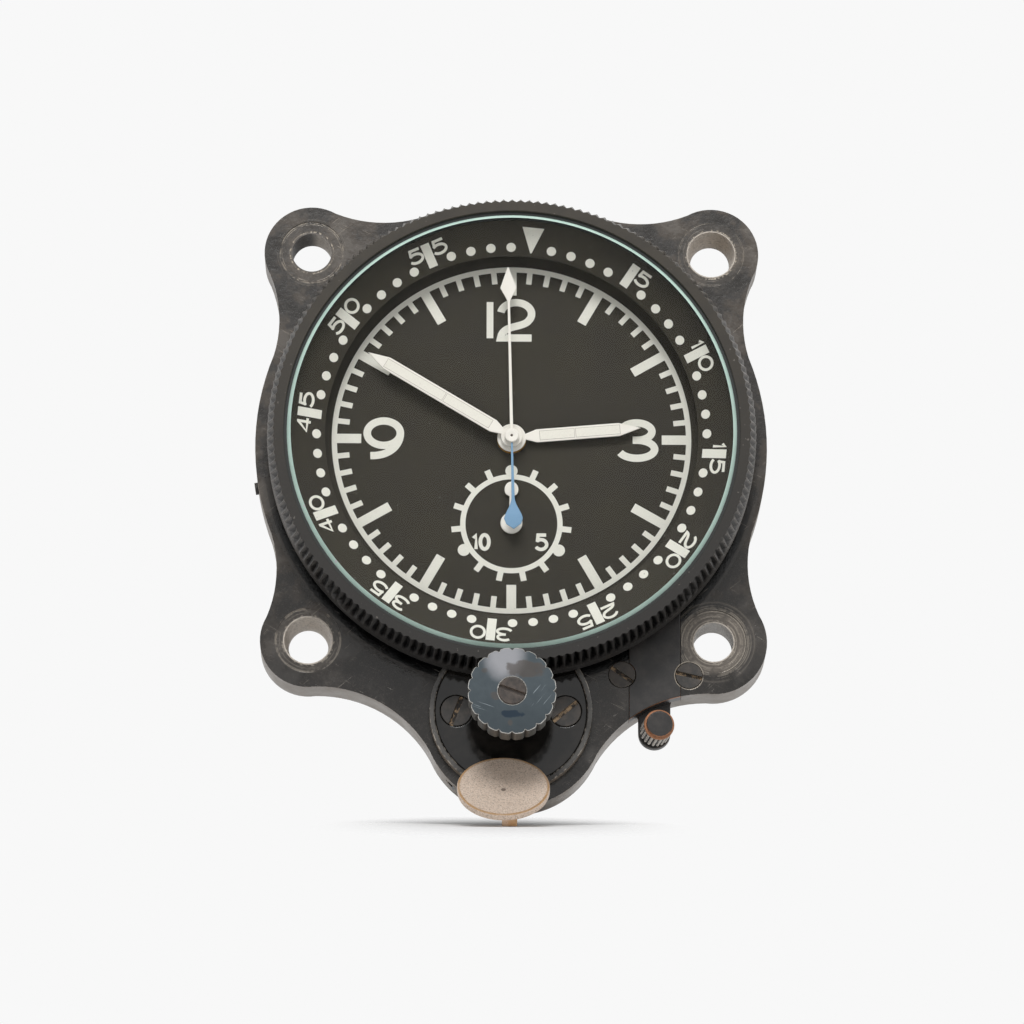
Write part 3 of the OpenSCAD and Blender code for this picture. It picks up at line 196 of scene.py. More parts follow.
def sums(operation):
    """An operator and its reflected form, which add one Math node each."""
    def plain(self, other):
        return self.maths(operation, self, other)

    def reflected(self, other):
        return self.maths(operation, other, self)

    return plain, reflected


class Val:
    """A shader socket that takes part in Python sums."""
    __add__, __radd__ = sums("ADD")
    __sub__, __rsub__ = sums("SUBTRACT")
    __mul__, __rmul__ = sums("MULTIPLY")
    __truediv__, __rtruediv__ = sums("DIVIDE")
    __pow__, __rpow__ = sums("POWER")

    def __init__(self, finish, socket):
        self.finish, self.socket = finish, socket

    def maths(self, operation, *values):
        return self.finish.node("ShaderNodeMath", {"operation": operation},
                                dict(enumerate(values)))

    def __abs__(self):
        return self.maths("ABSOLUTE", self)

    def most(self, other):
        return self.maths("MAXIMUM", self, other)

    def least(self, other):
        return self.maths("MINIMUM", self, other)

    def band(self, low, high, start=0.0, end=1.0):
        """Goes smoothly from start to end while the value goes from low to high."""
        return self.finish.node("ShaderNodeMapRange", {"interpolation_type": "SMOOTHSTEP"},
                                {"Value": self, "From Min": low, "From Max": high,
                                 "To Min": start, "To Max": end})

    def fade(self, low, high):
        """Goes smoothly from one to zero while the value goes from low to high."""
        return self.band(low, high, 1.0, 0.0)

    def between(self, low, full, falling, high):
        """One from full to falling, and zero below low and above high."""
        return self.band(low, full) * self.fade(falling, high)


class Finish:
    """One material, or the world, and the nodes in it."""

    def __init__(self, owner):
        self.owner = owner
        owner.use_nodes = True
        self.tree = owner.node_tree
        self.tree.nodes.clear()

    def node(self, kind, settings=None, sockets=None, out=0):
        made = self.tree.nodes.new(kind)
        for key, value in (settings or {}).items():
            setattr(made, key, value)
        for key, value in (sockets or {}).items():
            socket = made.inputs[key]
            if isinstance(value, Val):
                self.tree.links.new(value.socket, socket)
            else:
                socket.default_value = (*value, 1.0) if socket.type == "RGBA" else value
        return Val(self, made.outputs[out]) if made.outputs else made

    def place(self):
        return self.node("ShaderNodeTexCoord", out="Object")

    def split(self, vector):
        made = self.node("ShaderNodeSeparateXYZ", None, {0: vector})
        outputs = made.socket.node.outputs
        return [Val(self, outputs[i]) for i in range(3)]

    def ray(self, kind):
        """One for rays of this kind."""
        return self.node("ShaderNodeLightPath", out=f"Is {kind} Ray")

    def facing(self):
        """The three parts of the way that a face looks."""
        return self.split(self.node("ShaderNodeTexCoord", out="Normal"))

    def stretch(self, vector, scale, turned=0.0):
        """Coordinates drawn out along the axes, after a turn about the dial's axis in degrees."""
        turn_y = (0, math.radians(turned), 0)
        return self.node("ShaderNodeMapping", {"vector_type": "TEXTURE"},
                         {"Vector": vector, "Rotation": turn_y, "Scale": scale})

    def spot(self, x, z, at_x, at_z, wide, high):
        """Squared distance from a place on the front, in half sizes of an oval in millimetres."""
        across, up = (x / MM - at_x) / wide, (z / MM - at_z) / high
        return across * across + up * up

    def away(self, x, z, at_x, at_z):
        """Distance from a place on the front, in millimetres."""
        return self.spot(x, z, at_x, at_z, 1.0, 1.0) ** 0.5

    def noise(self, vector, per_mm, detail, rough):
        return self.node("ShaderNodeTexNoise", None, {"Vector": vector, "Scale": per_mm / MM,
                                                      "Detail": detail, "Roughness": rough})

    def scratches(self, place, scale, turned, per_mm, low, high):
        """Fine lines that run one way."""
        return self.noise(self.stretch(place, scale, turned), per_mm, 2.0, 0.6).band(low, high)

    def mix(self, share, first, second):
        return self.node("ShaderNodeMix", {"data_type": "RGBA"},
                         {0: share, 6: first, 7: second}, out=2)

    def edges(self, radius_mm):
        """How sharp the edge nearby is, and the rounded normal there."""
        rounded = self.node("ShaderNodeBevel", {"samples": 6}, {"Radius": radius_mm * MM})
        plain = self.node("ShaderNodeNewGeometry", out="Normal")
        along = self.node("ShaderNodeVectorMath", {"operation": "DOT_PRODUCT"},
                          {0: rounded, 1: plain}, out="Value")
        return 1 - along, rounded

    def bump(self, height, mm, normal=None):
        sockets = {"Height": height, "Distance": mm * MM, "Strength": 1.0}
        if normal is not None:
            sockets["Normal"] = normal
        return self.node("ShaderNodeBump", None, sockets)

    def surface(self, **sockets):
        """The principled surface; words in socket names are joined by underscores."""
        named = {key.replace("_", " "): value for key, value in sockets.items()}
        return self.node("ShaderNodeBsdfPrincipled", None, named)

    def show(self, surface):
        kind = "World" if isinstance(self.owner, bpy.types.World) else "Material"
        self.node(f"ShaderNodeOutput{kind}", None, {"Surface": surface})
        return self.owner

    def coat(self, **sockets):
        """The finished material with one principled surface."""
        return self.show(self.surface(**sockets))


FINISHES = {}


def finish(recipe):
    """The material of a recipe, made once."""
    if recipe.__name__ not in FINISHES:
        FINISHES[recipe.__name__] = recipe(Finish(bpy.data.materials.new(recipe.__name__)))
    return FINISHES[recipe.__name__]


def screw_seat(f, x, z, cloud):
    """Bright ring round the screw at the slot's right end."""
    return f.away(x, z, *SLOT_SCREW_AT).between(2.05, 2.12, 2.2, 2.34) * cloud.band(0.3, 0.5)


def case_lacquer(f):
    """Black lacquer: brown and mottled above, glossy below, worn on its edges and round the holes,
    with its sides painted light grey as painted light from the pale floor.
    """
    place = f.place()
    x, y, z = f.split(place)
    nx, ny, nz = f.facing()
    broad = f.noise(place, 0.06, 3.0, 0.5)
    patch = f.noise(place, 0.2, 5.0, 0.62)
    cloud = f.noise(place, 0.55, 4.0, 0.6)
    fine = f.noise(place, 2.4, 4.0, 0.65)
    speck = f.noise(place, 1.7, 2.0, 0.5)
    # the lacquer goes from black at the bottom to brown at the top
    upper = (z / MM + (broad - 0.5) * 36).band(-62, 14)
    tone = f.mix(upper, shade("lacquer"), shade("lacquer_aged"))
    ahead = y.band(-0.2 * MM, 0.6 * MM, 1.0, 0.25)
    tone = f.mix(patch.band(0.42, 0.54, 0.9, 0.0) * ahead, tone, (0.012, 0.01, 0.008))
    tone = f.mix(patch.band(0.54, 0.66) * upper * ahead * 0.75, tone, (0.1, 0.085, 0.07))
    tone = f.mix(cloud.band(0.52, 0.72) * 0.4, tone, (0.02, 0.017, 0.015))
    tone = f.mix(fine.band(0.5, 0.75) * 0.4, tone, (0.08, 0.069, 0.058))
    tone = f.mix(speck.band(0.7, 0.76) * 0.6, tone, (0.008, 0.007, 0.006))
    # painted reflection: pale streaks on the glossy lower lacquer
    painted_sheen_haze = f.noise(f.stretch(place, (1.0, 1.0, 1.6), 30), 0.13, 3.0, 0.5).band(0.56, 0.64)
    tone = f.mix(painted_sheen_haze * (1 - upper) * 0.6, tone, (0.06, 0.055, 0.05))

    # painted shadow on the flange under the bezel, a painted highlight line just outside it along a
    # step that is not modelled, and lighter arcs on the boss ring's front at its left and right
    reach = (x * x + z * z) ** 0.5 / MM
    below = z.fade(-16 * MM, 2 * MM) * abs(ny).band(0.9, 0.98)
    # painted shadow: near black on the flange within the bezel's reach, in the lower part
    tone = f.mix(below * reach.fade(38.7, 38.95), tone, grey(0.002))
    # painted highlight: a thin light line round the lower part, just outside the bezel
    tone = f.mix(below * reach.between(38.8, 39.0, 39.2, 39.5) * 0.6, tone, (0.055, 0.051, 0.047))
    collar = f.away(x, z, 0.0, -sizes().boss_drop).between(11.7, 12.1, 13.0, 13.4)
    collar = collar * y.fade(-8.9 * MM, -7.6 * MM) * abs(x).band(6 * MM, 10 * MM)
    tone = f.mix(collar * patch.band(0.35, 0.55, 0.3, 1.0), tone, (0.1, 0.095, 0.088))

    # the four holes: worn seats, bright turned rings and the light on their walls
    right, top = x.band(-MM, MM), z.band(-MM, MM)
    dx, dz = abs(x) / MM - HOLE_AT, abs(z) / MM - HOLE_AT
    ring = (dx * dx + dz * dz) ** 0.5
    wide = 1 - abs(right - top)
    low_right = right * (1 - top)
    seat = ring.fade(4.4, 5.6) * (0.2 + low_right * 0.5)
    tone = f.mix(seat * fine.band(0.2, 0.6, 0.6, 1.0), tone, (0.17, 0.145, 0.12))
    lathe = f.node("ShaderNodeCombineXYZ", None,
                   {0: ring * MM, 1: right * 0.03, 2: top * 0.03 + cloud * 0.0004})
    rings = f.noise(lathe, 2.6, 2.0, 0.6).band(0.56 - low_right * 0.1, 0.68)
    rings = rings * (cloud + low_right * 0.06).band(0.42, 0.56)
    rings = rings * ring.between(3.2, 3.7, 4.6, low_right * 1.4 + 5.8)
    mouth = ring - wide * 0.6
    rings = rings.most(mouth.between(3.28, 3.34, 3.42, 3.62) * fine.band(0.5, 0.62))
    wall = mouth.fade(3.2, 3.34)
    lit = right.most(1 - top).most(nx.fade(-0.4, 0.1))
    light = f.mix(lit, (0.04, 0.034, 0.03), (0.56, 0.5, 0.43))
    light = f.mix(low_right * y.maths("SINE", y / MM * 9).band(-0.4, 0.6), light, grey(0.03))
    light = f.mix(fine.band(0.45, 0.65) * 0.5, light, (0.16, 0.135, 0.11))

    # the sides facing down and sideways, painted light grey as painted light from the pale floor,
    # and the bare metal of chips, rings and scratches
    side = (1 - abs(ny)).band(0.6, 0.95) * nz.fade(-0.2, 0.5) * y.fade(-0.4 * MM, 0.1 * MM)
    side = side * (1 - wall) * ring.band(4.8, 5.2) * z.band(-60 * MM, 40 * MM, 1.0, 0.55)
    tone = f.mix(side * fine.band(0.2, 0.7, 1.0, 0.7), tone, shade("side"))
    chips = abs(ny).between(0.15, 0.4, 0.9, 0.985) * (speck * 0.6 + patch * 0.4).band(0.5, 0.6)
    lines = f.scratches(place, (7.0, 1.0, 0.2), 28, 1.5, 0.67, 0.73)
    lines = lines.most(f.scratches(place, (7.0, 1.0, 0.2), -41, 1.5, 0.68, 0.74))
    worn = (chips * 0.8).most(rings * 0.75).most(screw_seat(f, x, z, cloud))
    worn = worn.most(lines * patch.band(0.45, 0.6) * 0.45)
    gold = f.mix(upper, (0.46, 0.41, 0.35), shade("bare"))
    tone = f.mix(worn * 0.8, tone, gold)
    tone = f.mix(wall, tone, light)
    gloss = 0.16 + upper * 0.16 + (patch - 0.5) * 0.5 + side * 0.2 + wall * 0.25
    height = patch * 0.8 + cloud * 0.5 + fine * 0.3 - worn * 0.2
    return f.coat(Base_Color=tone, Metallic=worn * 0.5, Roughness=gloss,
                  Normal=f.bump(height, 0.07))


def cap_lacquer(f):
    """Glossy black lacquer of the boss cap, dusty in places."""
    place = f.place()
    cloud = f.noise(place, 0.4, 4.0, 0.6)
    fine = f.noise(place, 2.6, 4.0, 0.6)
    edge, rounded = f.edges(0.2)
    tone = f.mix(cloud.band(0.4, 0.7), (0.006, 0.0055, 0.005), (0.016, 0.014, 0.012))
    worn = (edge * 2.0 + fine * 0.5 + cloud * 0.4 - 0.65).band(0.1, 0.45)
    tone = f.mix(worn * 0.5, tone, shade("bare"))
    return f.coat(Base_Color=tone, Metallic=worn * 0.5, Roughness=0.06 + cloud * 0.06,
                  Normal=f.bump(cloud * 0.3 + fine * 0.1, 0.02, rounded))


def bezel_black(f):
    """Satin black of the bezel; its bevelled teeth are lighter above, with wear and painted sheen,
    and darker below, with grime and painted shade, with painted shadow in the gaps.
    """
    s = sizes()
    place = f.place()
    x, y, z = f.split(place)
    _, ny, _ = f.facing()
    patch = f.noise(place, 0.25, 5.0, 0.6)
    fine = f.noise(place, 4.0, 3.0, 0.6)
    speck = f.noise(place, 1.5, 2.0, 0.5)
    # darker towards the bottom: partly grime, partly painted shade
    upper = z.band(-30 * MM, 30 * MM)
    tone = f.mix(upper, (0.026, 0.024, 0.022), shade("bezel"))
    tone = f.mix(patch.band(0.4, 0.7) * 0.4, tone, (0.024, 0.022, 0.02))
    tone = f.mix(fine.band(0.55, 0.75) * 0.25, tone, (0.07, 0.064, 0.058))
    face = abs(ny).band(0.97, 0.995)
    sheen_above_shade_below = z.band(-26 * MM, -14 * MM)
    reach = (x * x + z * z) ** 0.5 / MM
    teeth = reach.band(36.6, 36.9) * (1 - face)
    # the crests of the teeth come in along the bevel, so a gap lies below them
    shoulder, per_mm = s.bezel_front - s.bezel_slope, -0.444
    bevel = ((y / MM + shoulder) * per_mm).most(0.0).least(1.0)
    crest = s.bezel_r - bevel * s.bezel_bevel
    gap = (crest - reach).band(0.06, 0.3)
    # painted shade and grime: the lower teeth darker
    tone = f.mix(teeth * (1 - sheen_above_shade_below) * 0.5, tone, (0.02, 0.018, 0.017))
    # painted shadow: black in the gaps under the crests, most of all below
    tone = f.mix(teeth * gap * (1 - sheen_above_shade_below * 0.7), tone, grey(0.0))
    # wear and painted sheen: light worn facets on the upper teeth
    painted_light_patch = teeth * sheen_above_shade_below * (1 - gap) * fine.band(0.35, 0.62, 0.1, 0.8)
    tone = f.mix(painted_light_patch, tone, (0.19, 0.172, 0.155))
    tone = f.mix(face * speck.band(0.71, 0.76) * 0.6, tone, (0.2, 0.18, 0.16))
    bump = f.bump(fine * 0.4 + patch * 0.6, 0.014)
    return f.coat(Base_Color=tone, Metallic=teeth * gap * (1 - sheen_above_shade_below),
                  Roughness=0.36 + patch * 0.12, Specular_IOR_Level=0.25, Normal=bump)


def dial_black(f):
    """Matt black of the dial, cloudy and a little dusty."""
    place = f.place()
    grain = f.noise(place, 7.0, 3.0, 0.6)
    cloud = f.noise(place, 0.12, 3.0, 0.5)
    dust = f.noise(place, 2.2, 2.0, 0.3).band(0.75, 0.79)
    tone = f.mix(cloud.band(0.3, 0.7) * 0.35, shade("dial"), (0.018, 0.015, 0.013))
    tone = f.mix(dust * 0.5, tone, (0.14, 0.13, 0.12))
    return f.coat(Base_Color=tone, Roughness=0.62 + grain * 0.1,
                  Specular_IOR_Level=0.3, Normal=f.bump(grain, 0.006))


def luminous_paint(f):
    """Thick luminous paint of the printing, grainy and pitted."""
    place = f.place()
    grain = f.noise(place, 4.5, 4.0, 0.7)
    cloud = f.noise(place, 0.6, 3.0, 0.6)
    pits = f.noise(place, 3.0, 2.0, 0.4).band(0.72, 0.78)
    tone = f.mix(grain.band(0.4, 0.75) * 0.3, shade("paint"), (0.62, 0.61, 0.56))
    tone = f.mix(cloud.band(0.45, 0.75) * 0.15, tone, (0.66, 0.63, 0.54))
    tone = f.mix(pits * 0.5, tone, (0.18, 0.17, 0.15))
    return f.coat(Base_Color=tone, Roughness=0.8 - grain * 0.1, Normal=f.bump(grain - pits, 0.02))


def hand_cream(f):
    """Cream paint of the hands."""
    place = f.place()
    grain = f.noise(place, 4.0, 3.0, 0.6)
    cloud = f.noise(place, 0.5, 2.0, 0.5)
    tone = f.mix(cloud.band(0.4, 0.75) * 0.2, shade("cream"), (0.72, 0.67, 0.58))
    return f.coat(Base_Color=tone, Roughness=0.5 + grain * 0.15, Normal=f.bump(grain, 0.006))


def hand_lume(f):
    """Grainy luminous filling of the hands, with dark spots."""
    place = f.place()
    grain = f.noise(place, 5.0, 4.0, 0.7)
    spots = f.noise(place, 1.6, 2.0, 0.4).band(0.73, 0.79)
    tone = f.mix(grain.band(0.35, 0.75) * 0.3, shade("lume"), (0.66, 0.63, 0.55))
    tone = f.mix(spots * 0.35, tone, (0.3, 0.27, 0.22))
    return f.coat(Base_Color=tone, Roughness=0.7 + grain * 0.15, Normal=f.bump(grain, 0.02))


def hand_line(f):
    """Fine dull line round the luminous filling of a hand."""
    place = f.place()
    grain = f.noise(place, 4.0, 3.0, 0.6)
    tone = f.mix(grain, (0.42, 0.39, 0.34), (0.6, 0.56, 0.49))
    return f.coat(Base_Color=tone, Roughness=0.6 + grain * 0.1)


def blued_steel(f):
    """Blued steel of the sweep hand's tail."""
    place = f.place()
    cloud = f.noise(place, 0.4, 3.0, 0.5)
    fine = f.noise(place, 6.0, 2.0, 0.5)
    tone = f.mix(cloud.band(0.35, 0.7) * 0.25, shade("blue"), (0.12, 0.25, 0.4))
    return f.coat(Base_Color=tone, Metallic=0.1, Roughness=0.4 + fine * 0.12,
                  Normal=f.bump(fine, 0.004))


def clear_glass(f):
    """Flat faces of the glass: they bend the view, let light through and carry a little dust."""
    place = f.place()
    passing = f.ray("Shadow").most(f.ray("Diffuse")).most(f.ray("Glossy"))
    dust = f.noise(place, 1.4, 3.0, 0.5).band(0.74, 0.8)
    gloss = f.node("ShaderNodeFresnel", None, {"IOR": 1.45})
    bent = f.node("ShaderNodeBsdfRefraction", None,
                  {"Color": grey(1.0), "Roughness": 0.0, "IOR": 1.5})
    mirror = f.surface(Base_Color=grey(0.9), Metallic=1.0, Roughness=0.03)
    film = f.surface(Base_Color=grey(0.8), Roughness=0.9)
    dusty = f.node("ShaderNodeMixShader", None, {0: dust * 0.03, 1: bent, 2: film})
    seen = f.node("ShaderNodeMixShader", None, {0: gloss * 0.3, 1: dusty, 2: mirror})
    straight = f.node("ShaderNodeBsdfTransparent", None, {"Color": grey(1.0)})
    return f.show(f.node("ShaderNodeMixShader", None, {0: passing, 1: seen, 2: straight}))


def ground_edge(f):
    """Ground bevel of the glass, which gathers a pale green light."""
    place = f.place()
    cloud = f.noise(place, 0.3, 3.0, 0.6)
    fine = f.noise(place, 3.0, 3.0, 0.6)
    nicks = f.noise(place, 0.9, 2.0, 0.4).band(0.72, 0.78)
    tone = f.mix(cloud.band(0.35, 0.7) * 0.3, shade("glass_edge"), (0.4, 0.56, 0.5))
    tone = f.mix(nicks, tone, grey(0.7))
    return f.coat(Base_Color=tone, Roughness=0.35 + fine * 0.25, Normal=f.bump(fine, 0.01))


def seal_rubber(f):
    """Dark rubber of the seals."""
    place = f.place()
    fine = f.noise(place, 3.0, 3.0, 0.6)
    tone = f.mix(fine, grey(0.006), (0.02, 0.024, 0.022))
    return f.coat(Base_Color=tone, Roughness=0.5 + fine * 0.2, Normal=f.bump(fine, 0.02))


def knob_steel(f):
    """Blue-grey steel with brown patches, a dark blue one, scratches, a bright worn rim and a
    painted highlight near the top of its face.
    """
    drop = sizes().boss_drop
    place = f.place()
    x, _, z = f.split(place)
    _, ny, _ = f.facing()
    broad = f.noise(place, 0.2, 4.0, 0.6)
    cloud = f.noise(place, 0.7, 4.0, 0.6)
    fine = f.noise(place, 3.5, 3.0, 0.6)
    up = z / MM + drop
    tone = f.mix(cloud.band(0.3, 0.75) * 0.5, shade("knob"), (0.034, 0.046, 0.054))
    # painted highlight: a pale patch near the top of the knob's face
    painted_highlight = f.spot(x, z, -1.2, -37.2, 3.6, 4.2) + (broad - 0.5) * 0.8
    tone = f.mix(painted_highlight.band(0.1, 1.3, 0.8, 0.0), tone, (0.34, 0.34, 0.36))
    # darker blue towards the bottom of the knob
    tone = f.mix((up + (broad - 0.5) * 3).band(-6.5, 1.5, 0.5, 0.0), tone, (0.022, 0.032, 0.038))

    def blot(at_x, at_z, wide, high, ragged, low, share=1.0):
        """A patch with a ragged outline."""
        spot = f.spot(x, z, at_x, at_z, wide, high) + (cloud - 0.5) * ragged
        return spot.band(low, 1.1, share, 0.0)

    brown = blot(2.0, -39.6, 3.0, 1.4, 2.4, 0.6)
    for small in ((-2.5, -43.8, 0.9, 0.8, 2.4, 0.5, 0.8), (-4.2, -39.9, 0.6, 0.5, 2.4, 0.5, 0.7),
                  (-0.3, -48.0, 0.4, 0.5, 1.4, 0.5, 0.7)):
        brown = brown.most(blot(*small))
    tone = f.mix(brown * 0.7, tone, shade("rust"))
    tone = f.mix(blot(0.1, -46.6, 2.0, 0.6, 2.6, 0.7) * 0.9, tone, (0.006, 0.018, 0.034))
    slant = f.scratches(place, (6.0, 1.0, 0.3), -52, 1.6, 0.63, 0.72)
    slant = slant * f.spot(x, z, 4.0, -43.4, 2.0, 2.4).fade(0.5, 1.2)
    level = f.scratches(place, (6.0, 1.0, 0.3), 18, 1.6, 0.62, 0.72)
    level = level * f.spot(x, z, -4.2, -45.8, 2.2, 2.8).fade(0.5, 1.2)
    scratch = slant.most(level)
    tone = f.mix(scratch * 0.5, tone, (0.38, 0.43, 0.46))
    front = abs(ny).band(0.97, 0.99)
    rim = abs(ny).band(0.3, 0.6) * (1 - front)
    side = abs(ny).fade(0.1, 0.3)
    land = side * f.away(x, z, 0.0, -drop).band(6.4, 6.7)
    tone = f.mix(side * 0.8, tone, (0.05, 0.046, 0.04))
    tone = f.mix(land * fine.band(0.35, 0.6, 0.2, 0.8), tone, (0.2, 0.19, 0.17))
    tone = f.mix(rim * fine.band(0.3, 0.55, 0.35, 0.9), tone, (0.7, 0.68, 0.64))
    gloss = 0.3 + brown * 0.2 + cloud * 0.12
    bump = f.bump(fine * 0.2 + cloud * 0.2 - scratch * 0.3, 0.012)
    return f.coat(Base_Color=tone, Metallic=0.5 - brown * 0.4, Roughness=gloss, Normal=bump)


def screw_steel(f):
    """Dark screws, brown with age, with brassy nicks at the slots."""
    place = f.place()
    cloud = f.noise(place, 0.7, 4.0, 0.6)
    fine = f.noise(place, 4.0, 3.0, 0.6)
    edge, rounded = f.edges(0.14)
    tone = f.mix(cloud.band(0.35, 0.7), (0.026, 0.024, 0.022), (0.06, 0.05, 0.042))
    bright = (edge * 2.4 + fine * 0.6 + cloud * 0.7 - 0.95).band(0.08, 0.4)
    tone = f.mix(bright * 0.9, tone, (0.5, 0.42, 0.32))
    return f.coat(Base_Color=tone, Metallic=0.1 + bright * 0.5, Roughness=0.4 + fine * 0.2,
                  Normal=f.bump(fine * 0.4 + cloud * 0.4, 0.03, rounded))


def slot_brass(f):
    """Floor of a screw's slot, brassy and dirty."""
    place = f.place()
    cloud = f.noise(place, 0.9, 4.0, 0.65)
    fine = f.noise(place, 4.0, 3.0, 0.6)
    tone = f.mix(cloud.band(0.42, 0.58), (0.02, 0.016, 0.013), (0.36, 0.25, 0.15))
    return f.coat(Base_Color=tone, Metallic=0.3, Roughness=0.5 + fine * 0.2,
                  Normal=f.bump(cloud, 0.05))


def knob_screw_steel(f):
    """Brown screw in the middle of the knob."""
    place = f.place()
    cloud = f.noise(place, 1.0, 4.0, 0.6)
    fine = f.noise(place, 5.0, 3.0, 0.6)
    edge, rounded = f.edges(0.14)
    tone = f.mix(cloud.band(0.3, 0.7), (0.028, 0.023, 0.02), (0.075, 0.058, 0.048))
    bright = (edge * 2.6 + fine * 0.4 - 0.35).band(0.05, 0.4)
    tone = f.mix(bright * 0.7, tone, (0.5, 0.36, 0.26))
    return f.coat(Base_Color=tone, Metallic=0.2 + bright * 0.5, Roughness=0.42 + fine * 0.2,
                  Normal=f.bump(fine * 0.4 + cloud * 0.4, 0.03, rounded))


def blasted_nickel(f):
    """Sand-blasted nickel with a fine sparkle, a brassy worn rim and painted shade: a dark fan
    above its middle and a dark centre pit.
    """
    place = f.place()
    x, y, z = f.split(place)
    grit = f.noise(place, 4.2, 2.0, 0.7)
    sparkle = f.noise(place, 6.0, 2.0, 0.6)
    cloud = f.noise(place, 0.25, 3.0, 0.6)
    # place on the paddle's own leaning plane, from its middle
    sine, cosine, drop = 0.629, 0.777, 53.05
    across, along = x / MM - PADDLE_AT[0], y / MM * sine + z / MM * cosine + drop
    out = (across * across + along * along) ** 0.5
    rim = out.between(6.6, 6.8, 7.02, 7.08)
    tone = f.mix(grit.band(0.5, 0.62) * 0.6, shade("nickel"), (0.27, 0.2, 0.15))
    tone = f.mix(sparkle.band(0.55, 0.66) * 0.6, tone, (0.86, 0.78, 0.7))
    # painted shade: a dark fan from the dish's middle up towards the knob
    painted_light_patch = (along * 0.62 - abs(across - along * 0.1)).band(-0.3, 1.2) * along.band(0.2, 2.4)
    tone = f.mix(painted_light_patch * 0.12, tone, (0.24, 0.165, 0.1))
    # painted shade: darker in the centre pit
    tone = f.mix(out.band(0.25, 0.5, 0.8, 0.0), tone, (0.12, 0.09, 0.07))
    tone = f.mix(rim * cloud.band(0.3, 0.6, 0.5, 0.85), tone, shade("rim"))
    bump = f.bump(grit * 0.7 + sparkle * 0.3, 0.05)
    gloss = 0.5 - rim * 0.14 + cloud * 0.1
    return f.coat(Base_Color=tone, Metallic=0.35, Roughness=gloss, Normal=bump)


def slide_black(f):
    """Black strip and cover plate, worn to copper on their lower edges."""
    place = f.place()
    cloud = f.noise(place, 0.5, 4.0, 0.6)
    fine = f.noise(place, 3.0, 4.0, 0.6)
    edge, rounded = f.edges(0.22)
    tone = f.mix(cloud.band(0.35, 0.75) * 0.6, shade("lacquer"), (0.045, 0.039, 0.035))
    x, y, z = f.split(place)
    _, _, nz = f.facing()
    worn = (edge * 2.2 + fine * 0.5 + cloud * 0.4 - 0.65).band(0.08, 0.4)
    worn = worn * (x * 0.35 - z).band(44 * MM, 47 * MM, 0.25, 1.0)
    foot = nz.fade(-0.5, -0.2) * y.fade(-6.25 * MM, -6.0 * MM)
    worn = worn.most(foot * cloud.band(0.35, 0.55, 0.4, 1.0))
    tone = f.mix(worn * 0.9, tone, shade("copper"))
    tone = f.mix(screw_seat(f, x, z, cloud) * 0.9, tone, shade("bare"))
    bump = f.bump(fine * 0.25 + cloud * 0.3, 0.03, rounded)
    return f.coat(Base_Color=tone, Metallic=worn * 0.5, Roughness=0.3 + fine * 0.2, Normal=bump)


def slide_rim(f):
    """Copper that shows round the face of the slide's knob."""
    place = f.place()
    cloud = f.noise(place, 1.2, 4.0, 0.6)
    fine = f.noise(place, 5.0, 3.0, 0.6)
    tone = f.mix(cloud.band(0.35, 0.7) * 0.6, shade("copper"), (0.16, 0.085, 0.05))
    return f.coat(Base_Color=tone, Metallic=0.3, Roughness=0.45 + fine * 0.2,
                  Normal=f.bump(fine + cloud, 0.04))


def slide_ribs(f):
    """Grey ribs of the slide's knob, dark between."""
    s = sizes()
    place = f.place()
    x, y, z = f.split(place)
    cloud = f.noise(place, 0.8, 4.0, 0.6)
    lean_per_mm = 0.105
    across = x / MM - s.slide_x + (y / MM + slide_knob_foot(s)) * lean_per_mm
    up = z / MM + s.slide_knob_y
    land = ((across * across + up * up) ** 0.5).band(2.18, 2.32)
    tone = f.mix(land * cloud.band(0.3, 0.5, 0.6, 1.0), (0.012, 0.01, 0.009), (0.42, 0.38, 0.33))
    bump = f.bump(cloud, 0.03)
    return f.coat(Base_Color=tone, Metallic=0.2, Roughness=0.42 + cloud * 0.1, Normal=bump)


def movement_metal(f, tone_name, dark, rough):
    """Brushed metal of the movement, in a colour of the panel that clouds to a darker one."""
    place = f.place()
    lines = f.noise(f.stretch(place, (1.0, 1.0, 20.0)), 3.0, 3.0, 0.6)
    cloud = f.noise(place, 0.2, 3.0, 0.5)
    tone = f.mix(cloud.band(0.3, 0.7) * 0.4 + lines * 0.2, shade(tone_name), dark)
    return f.coat(Base_Color=tone, Metallic=1.0, Roughness=rough + lines * 0.12,
                  Normal=f.bump(lines, 0.006))


def movement_brass(f):
    return movement_metal(f, "brass", (0.3, 0.19, 0.07), 0.26)


def movement_steel(f):
    return movement_metal(f, "steel", (0.2, 0.2, 0.21), 0.2)


def spring_steel(f):
    return movement_metal(f, "blue", (0.03, 0.05, 0.12), 0.22)


